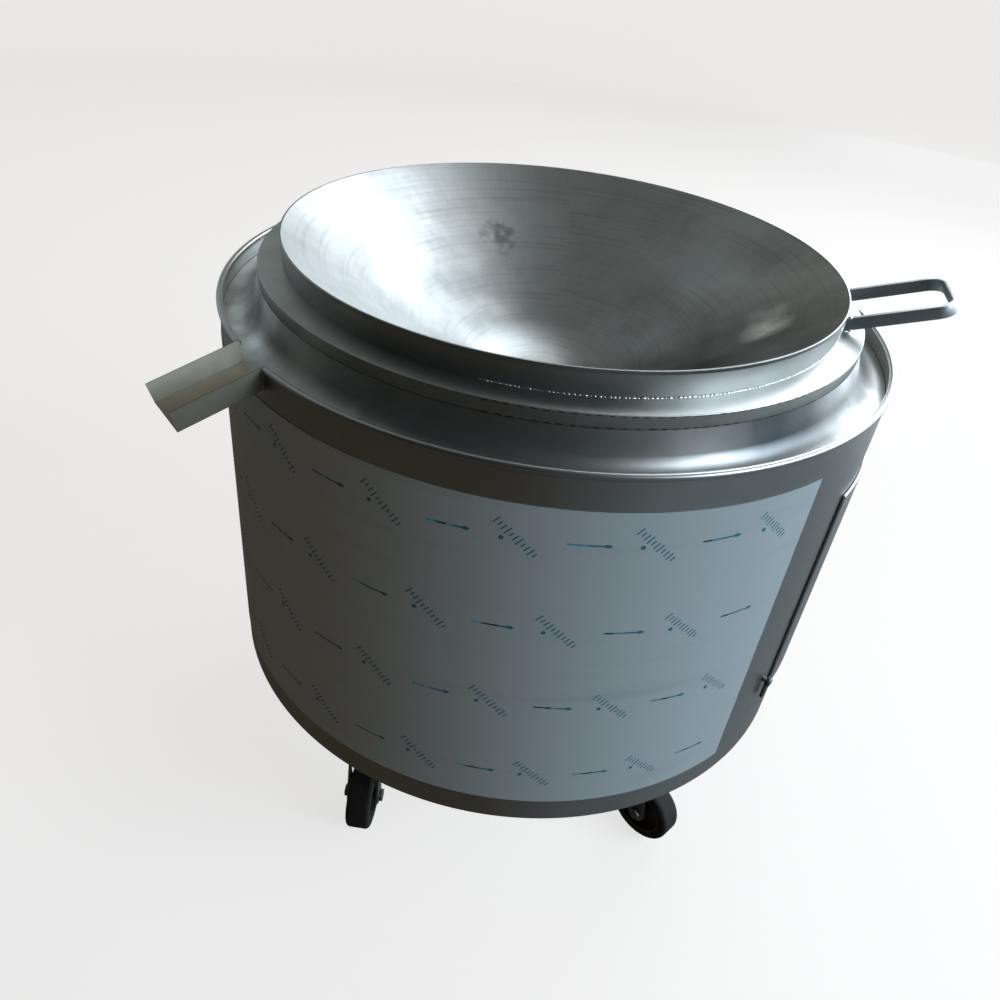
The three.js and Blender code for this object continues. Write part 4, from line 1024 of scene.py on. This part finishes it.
def mark(bm, x0, x1, y0, y1, lengths=1):
    """A flat stroke of ink, drawn out in short lengths so that it bends round the film."""
    end = [(y0, 0), (y1, 0), (y1, PRINT_THICKNESS), (y0, PRINT_THICKNESS)]
    made = [bm.verts.new((x0, y, z)) for y, z in end]
    face = bm.faces.new(made)
    for _ in range(lengths):
        drawn = bmesh.ops.extrude_face_region(bm, geom=[face])["geom"]
        face = next(g for g in drawn if isinstance(g, bmesh.types.BMFace))
        moved = [g for g in drawn if isinstance(g, bmesh.types.BMVert)]
        bmesh.ops.translate(bm, verts=moved, vec=((x1 - x0) / lengths, 0, 0))
        made += moved
    return made


def spot_of_ink(bm, x, y, width, height):
    sizes = {"segments": 12, "radius1": 0.5, "radius2": 0.5, "depth": PRINT_THICKNESS}
    made = bmesh.ops.create_cone(bm, cap_ends=True, **sizes)["verts"]
    place = Matrix.Translation((x, y, PRINT_THICKNESS / 2)) @ Matrix.Diagonal((width, height, 1, 1))
    bmesh.ops.transform(bm, matrix=place, verts=made)
    return made


def draw_arrow(bm, azimuth, z):
    """An arrow with a round head, a little out of level."""
    tip = ARROW_LENGTH / 2
    neck = tip - ARROW_HEAD / 2
    drawn = mark(bm, -tip, neck, -ARROW_SHAFT / 2, ARROW_SHAFT / 2, ARROW_PARTS)
    drawn += spot_of_ink(bm, neck, 0, ARROW_HEAD, ARROW_HEAD_WIDTH)
    slant = random.uniform(-ARROW_SLANT_DEG, ARROW_SLANT_DEG)
    lay_print(bm, drawn, azimuth, z, math.radians(slant))


def draw_ticks(bm, azimuth, z):
    """A slanted row of plain ticks, like a rule's, with one round dot below it."""
    drawn = []
    for i in range(TICKS):
        x = TICK_ROW * (i / (TICKS - 1) - 0.5)
        half = TICK_HEIGHTS[i % len(TICK_HEIGHTS)] / 2
        drawn += mark(bm, x - TICK_WIDTH / 2, x + TICK_WIDTH / 2, -half, half)
    drawn += spot_of_ink(bm, -TICK_ROW / 6, -DOT_DROP, DOT, DOT)
    lay_print(bm, drawn, azimuth, z, TICK_SLOPE)


def film_prints():
    arrows = bmesh.new()
    ticks = bmesh.new()
    start = FILM_AZIMUTHS[0] + FIRST_MARGIN_DEG
    last = FILM_AZIMUTHS[1] - LAST_MARGIN_DEG
    for z, first in PRINT_ROWS:
        azimuth = first - PRINTS_BEFORE * PRINT_PITCH_DEG
        while azimuth < last:
            if azimuth > start:
                draw_arrow(arrows, azimuth, z)
            if start < azimuth + TICK_SHIFT_DEG < last:
                draw_ticks(ticks, azimuth + TICK_SHIFT_DEG, z)
            azimuth += PRINT_PITCH_DEG
    for name, drawn in (("print_arrows", arrows), ("print_ticks", ticks)):
        bmesh.ops.recalc_face_normals(drawn, faces=drawn.faces)
        extra(name, drawn, "stove", ink, 30)


# Camera, light and floor

AMBIENT = 0.1
FLOOR_RADIUS = 40
FLOOR_GLOW = 0.72
CARD_DISTANCE = 6
DOORWAY_GLOW = 4.6
SKYLIGHT_GLOW = 3.2
SILL_GLOW = 2
# Shares of the card sphere: a direction, and the cosines to it where a share starts and is whole
SHARES = {
    "right": ((1, 0, 0), -0.1, 0.8),
    "back": ((0, 1, 0), -0.4, 0.7),
    "left": ((-1, 0, 0), 0.2, 0.7),
    "overhead": ((0, 0.3, 0.95), 0.85, 1),
    "near_post": ((0.978, -0.208, 0), -0.02, 0.16),
    "far_post": ((-0.616, 0.788, 0), 0.05, 0.19),
    "lintel": ((0, 0, -1), -0.97, -0.86),
    "low_lintel": ((0, 0, -1), -0.65, -0.45),
    "low_post": ((0, 1, 0), -0.25, 0.25),
    "above": ((0, 0, 1), -0.12, 0.06),
    "skylight": ((0.36, 0.41, 0.84), 0.984, 0.996),
    "horizon": ((0, 0, 1), -0.4, -0.2),
    "left_sill": ((-1, 0, 0), 0.5, 0.8),
    "left_sill_back": ((0, 1, 0), 0.05, 0.35),
    "sill_back": ((0, 1, 0), 0.1, 0.5),
}
# Soft lamps: place, aim, width, height, power and colour
LAMPS = {
    "key_from_the_right": ((3.0, -1.1, 1.9), (0, 0, 0.25), 2.2, 1.8, 103, "#e8f3ff"),
    "doorway": ((1.64, 2.73, 2.5), (0, 0, 0.45), 2.4, 3.4, 50, "#fbfdff"),
}

FOCAL_PIXELS = 846.4
PICTURE_PIXELS = 1000
SENSOR = 36
CAMERA_PLACE = Vector((0, -1004.6, 892.8)) * MM
CAMERA_YAW = -0.0397
CAMERA_PITCH = 0.6210
CAMERA_ROLL = 0.1228


def camera():
    data = bpy.data.cameras.new("camera")
    data.sensor_width = SENSOR
    data.lens = FOCAL_PIXELS / PICTURE_PIXELS * SENSOR
    data.clip_start = 0.01
    made = bpy.data.objects.new("camera", data)
    turn = (
        Matrix.Rotation(-CAMERA_YAW, 4, "Z")
        @ Matrix.Rotation(math.pi / 2 - CAMERA_PITCH, 4, "X")
        @ Matrix.Rotation(CAMERA_ROLL, 4, "Z")
    )
    made.matrix_world = Matrix.Translation(CAMERA_PLACE) @ turn
    bpy.context.scene.collection.objects.link(made)
    bpy.context.scene.camera = made


def softbox(name, place, aim, width, height, power, colour):
    data = bpy.data.lights.new(name, "AREA")
    data.shape = "RECTANGLE"
    data.size = width
    data.size_y = height
    data.energy = power
    data.color = linear(colour)[:3]
    made = bpy.data.objects.new(name, data)
    made.location = place
    made.rotation_euler = (Vector(aim) - Vector(place)).to_track_quat("-Z", "Y").to_euler()
    bpy.context.scene.collection.objects.link(made)


def combined(tree, operation, *values):
    """Folds values into one by a product or by taking the highest."""
    whole = values[0]
    for value in values[1:]:
        whole = add(tree, "Math", {0: whole, 1: value}, operation=operation)
    return whole


def looked_at(tree):
    """1 for rays from the camera and for those that a mirror or glass sends on."""
    path = add(tree, "LightPath").node.outputs
    kinds = [path[f"Is {kind} Ray"] for kind in ("Camera", "Glossy", "Transmission")]
    return combined(tree, "MAXIMUM", *kinds)


def world():
    """White for the camera and for reflections, and a plain level of light on everything."""
    made = bpy.data.worlds.new("pale_room")
    made.use_nodes = True
    bpy.context.scene.world = made
    tree = made.node_tree
    seen = looked_at(tree)
    level = add(tree, "MapRange", {"Value": seen, "To Min": AMBIENT, "To Max": 1.0})
    tones = {"Factor": seen, "A": "#ffc084", "B": "#ffffff"}
    background = tree.nodes["Background"].inputs
    tree.links.new(add(tree, "Mix", tones, "Result", data_type="RGBA"), background["Color"])
    tree.links.new(level, background["Strength"])


def floor():
    """A pale floor that keeps the stove's shadow. Metal shows the dark cards there instead of it."""
    bm = bmesh.new()
    bmesh.ops.create_circle(bm, cap_ends=True, segments=96, radius=FLOOR_RADIUS)
    bmesh.ops.translate(bm, verts=bm.verts, vec=(0, 0, ground))
    made = shown("pale_floor", bm)
    material, tree, shader = blank("floor_paper")
    shader.inputs["Base Color"].default_value = linear("#969694")
    shader.inputs["Roughness"].default_value = 0.9
    glow = add(tree, "Math", {0: looked_at(tree), 1: FLOOR_GLOW}, operation="MULTIPLY")
    shader.inputs["Emission Color"].default_value = linear("#ffffff")
    tree.links.new(glow, shader.inputs["Emission Strength"])
    made.data.materials.append(material)
    made.visible_glossy = False


def toward(tree, way, aim, start, end):
    """How far a direction turns towards an aim: 0 up to one cosine, 1 past another."""
    aims = {0: way, 1: Vector(aim).normalized()}
    aimed = add(tree, "VectorMath", aims, "Value", operation="DOT_PRODUCT")
    limits = {"Value": aimed, "From Min": start, "From Max": end}
    return add(tree, "MapRange", limits, interpolation_type="SMOOTHSTEP")


def card(tree, colour, tone, *shares):
    """Hangs a card over a colour: its tone shows where all its shares are whole."""
    cover = combined(tree, "MULTIPLY", *shares)
    return add(tree, "Mix", {"Factor": cover, "A": colour, "B": tone}, "Result", data_type="RGBA")


def dim_room():
    """Cards all round that only metal shows, as are hung round polished metal for a picture. They are
    dark below, grey above, and white in one tall stretch to the right, like a workshop's door."""
    bm = bmesh.new()
    bmesh.ops.create_uvsphere(bm, u_segments=64, v_segments=32, radius=CARD_DISTANCE)
    bmesh.ops.reverse_faces(bm, faces=bm.faces)
    made = shown("room_cards", bm, 180)
    material, tree, shader = blank("room_paint")
    tree.nodes.remove(shader)
    way = add(tree, "VectorMath", {0: own_place(tree)}, operation="NORMALIZE")
    share = {name: toward(tree, way, *turn) for name, turn in SHARES.items()}
    tall = combined(tree, "MULTIPLY", share["far_post"], share["lintel"])
    low = combined(tree, "MULTIPLY", share["low_lintel"], share["low_post"])
    opening = combined(tree, "MAXIMUM", tall, low)
    door = combined(tree, "MULTIPLY", share["near_post"], opening)
    lit = combined(tree, "MULTIPLY", door, share["above"])
    bright = combined(tree, "MAXIMUM", door, share["skylight"])
    sill = combined(tree, "MULTIPLY", share["near_post"], share["sill_back"], share["horizon"])
    wall = card(tree, "#292b2b", "#94968f", share["back"])
    wall = card(tree, wall, "#b4bfc4", share["back"], share["left"])
    wall = card(tree, wall, "#7c7e7b", share["overhead"])
    wall = card(tree, wall, "#e9f3ff", bright)
    earth = card(tree, "#464037", "#7a8389", share["right"])
    left_sill = (share["left_sill"], share["left_sill_back"], share["horizon"])
    earth = card(tree, earth, "#a9b1b5", *left_sill)
    earth = card(tree, earth, "#dfe7ec", sill)
    tone = card(tree, earth, wall, share["above"])
    power = 1.0
    glows = ((sill, SILL_GLOW), (share["skylight"], SKYLIGHT_GLOW), (lit, DOORWAY_GLOW))
    for place, glow in glows:
        power = add(tree, "MapRange", {"Value": place, "To Min": power, "To Max": glow})
    light = add(tree, "Emission", {"Color": tone, "Strength": power})
    tree.links.new(light, tree.nodes["Material Output"].inputs["Surface"])
    made.data.materials.append(material)
    made.visible_camera = False
    made.visible_diffuse = False
    made.visible_transmission = False
    made.visible_volume_scatter = False
    made.visible_shadow = False


# Everything in its order

camera()
world()
floor()
dim_room()
for name, lamp in LAMPS.items():
    softbox(name, *lamp)

drum_shell()
fire_door()
film_sheet()
gutter()
collar()
skirt()
band_and_bowl()
weld_beads()
spout()
handle()
pipes()
casters()
film_prints()

HINGED = ("hinge_leaf_fixed", "hinge_leaf_door", "hinge_pin")
FORMED = ("base_ring", "drum_floor", "insulation_cover", "door_tunnel")
CAST = ("burner_pot", "flame_ring", "burner_pedestal", "flame_deflector")
VALVE = ("fuel_valve_body", "fuel_valve_knob")
SMALL = ("catch_stud", "door_catch", "damper_flap", "damper_lever", "fuel_pipe")
for node in [f"{kind}_{number}" for number in (1, 2) for kind in HINGED]:
    refined(node, FINE_ROUND)
for node in FORMED + CAST + VALVE:
    refined(node, CAST_ROUND)
for node in SMALL:
    refined(node, FINE_ROUND)

for node, made in frame["nodes"].items():
    made.data.materials.clear()
    made.data.materials.append(FINISHES[slot_of[node]])

bpy.context.scene.view_settings.view_transform = "Standard"
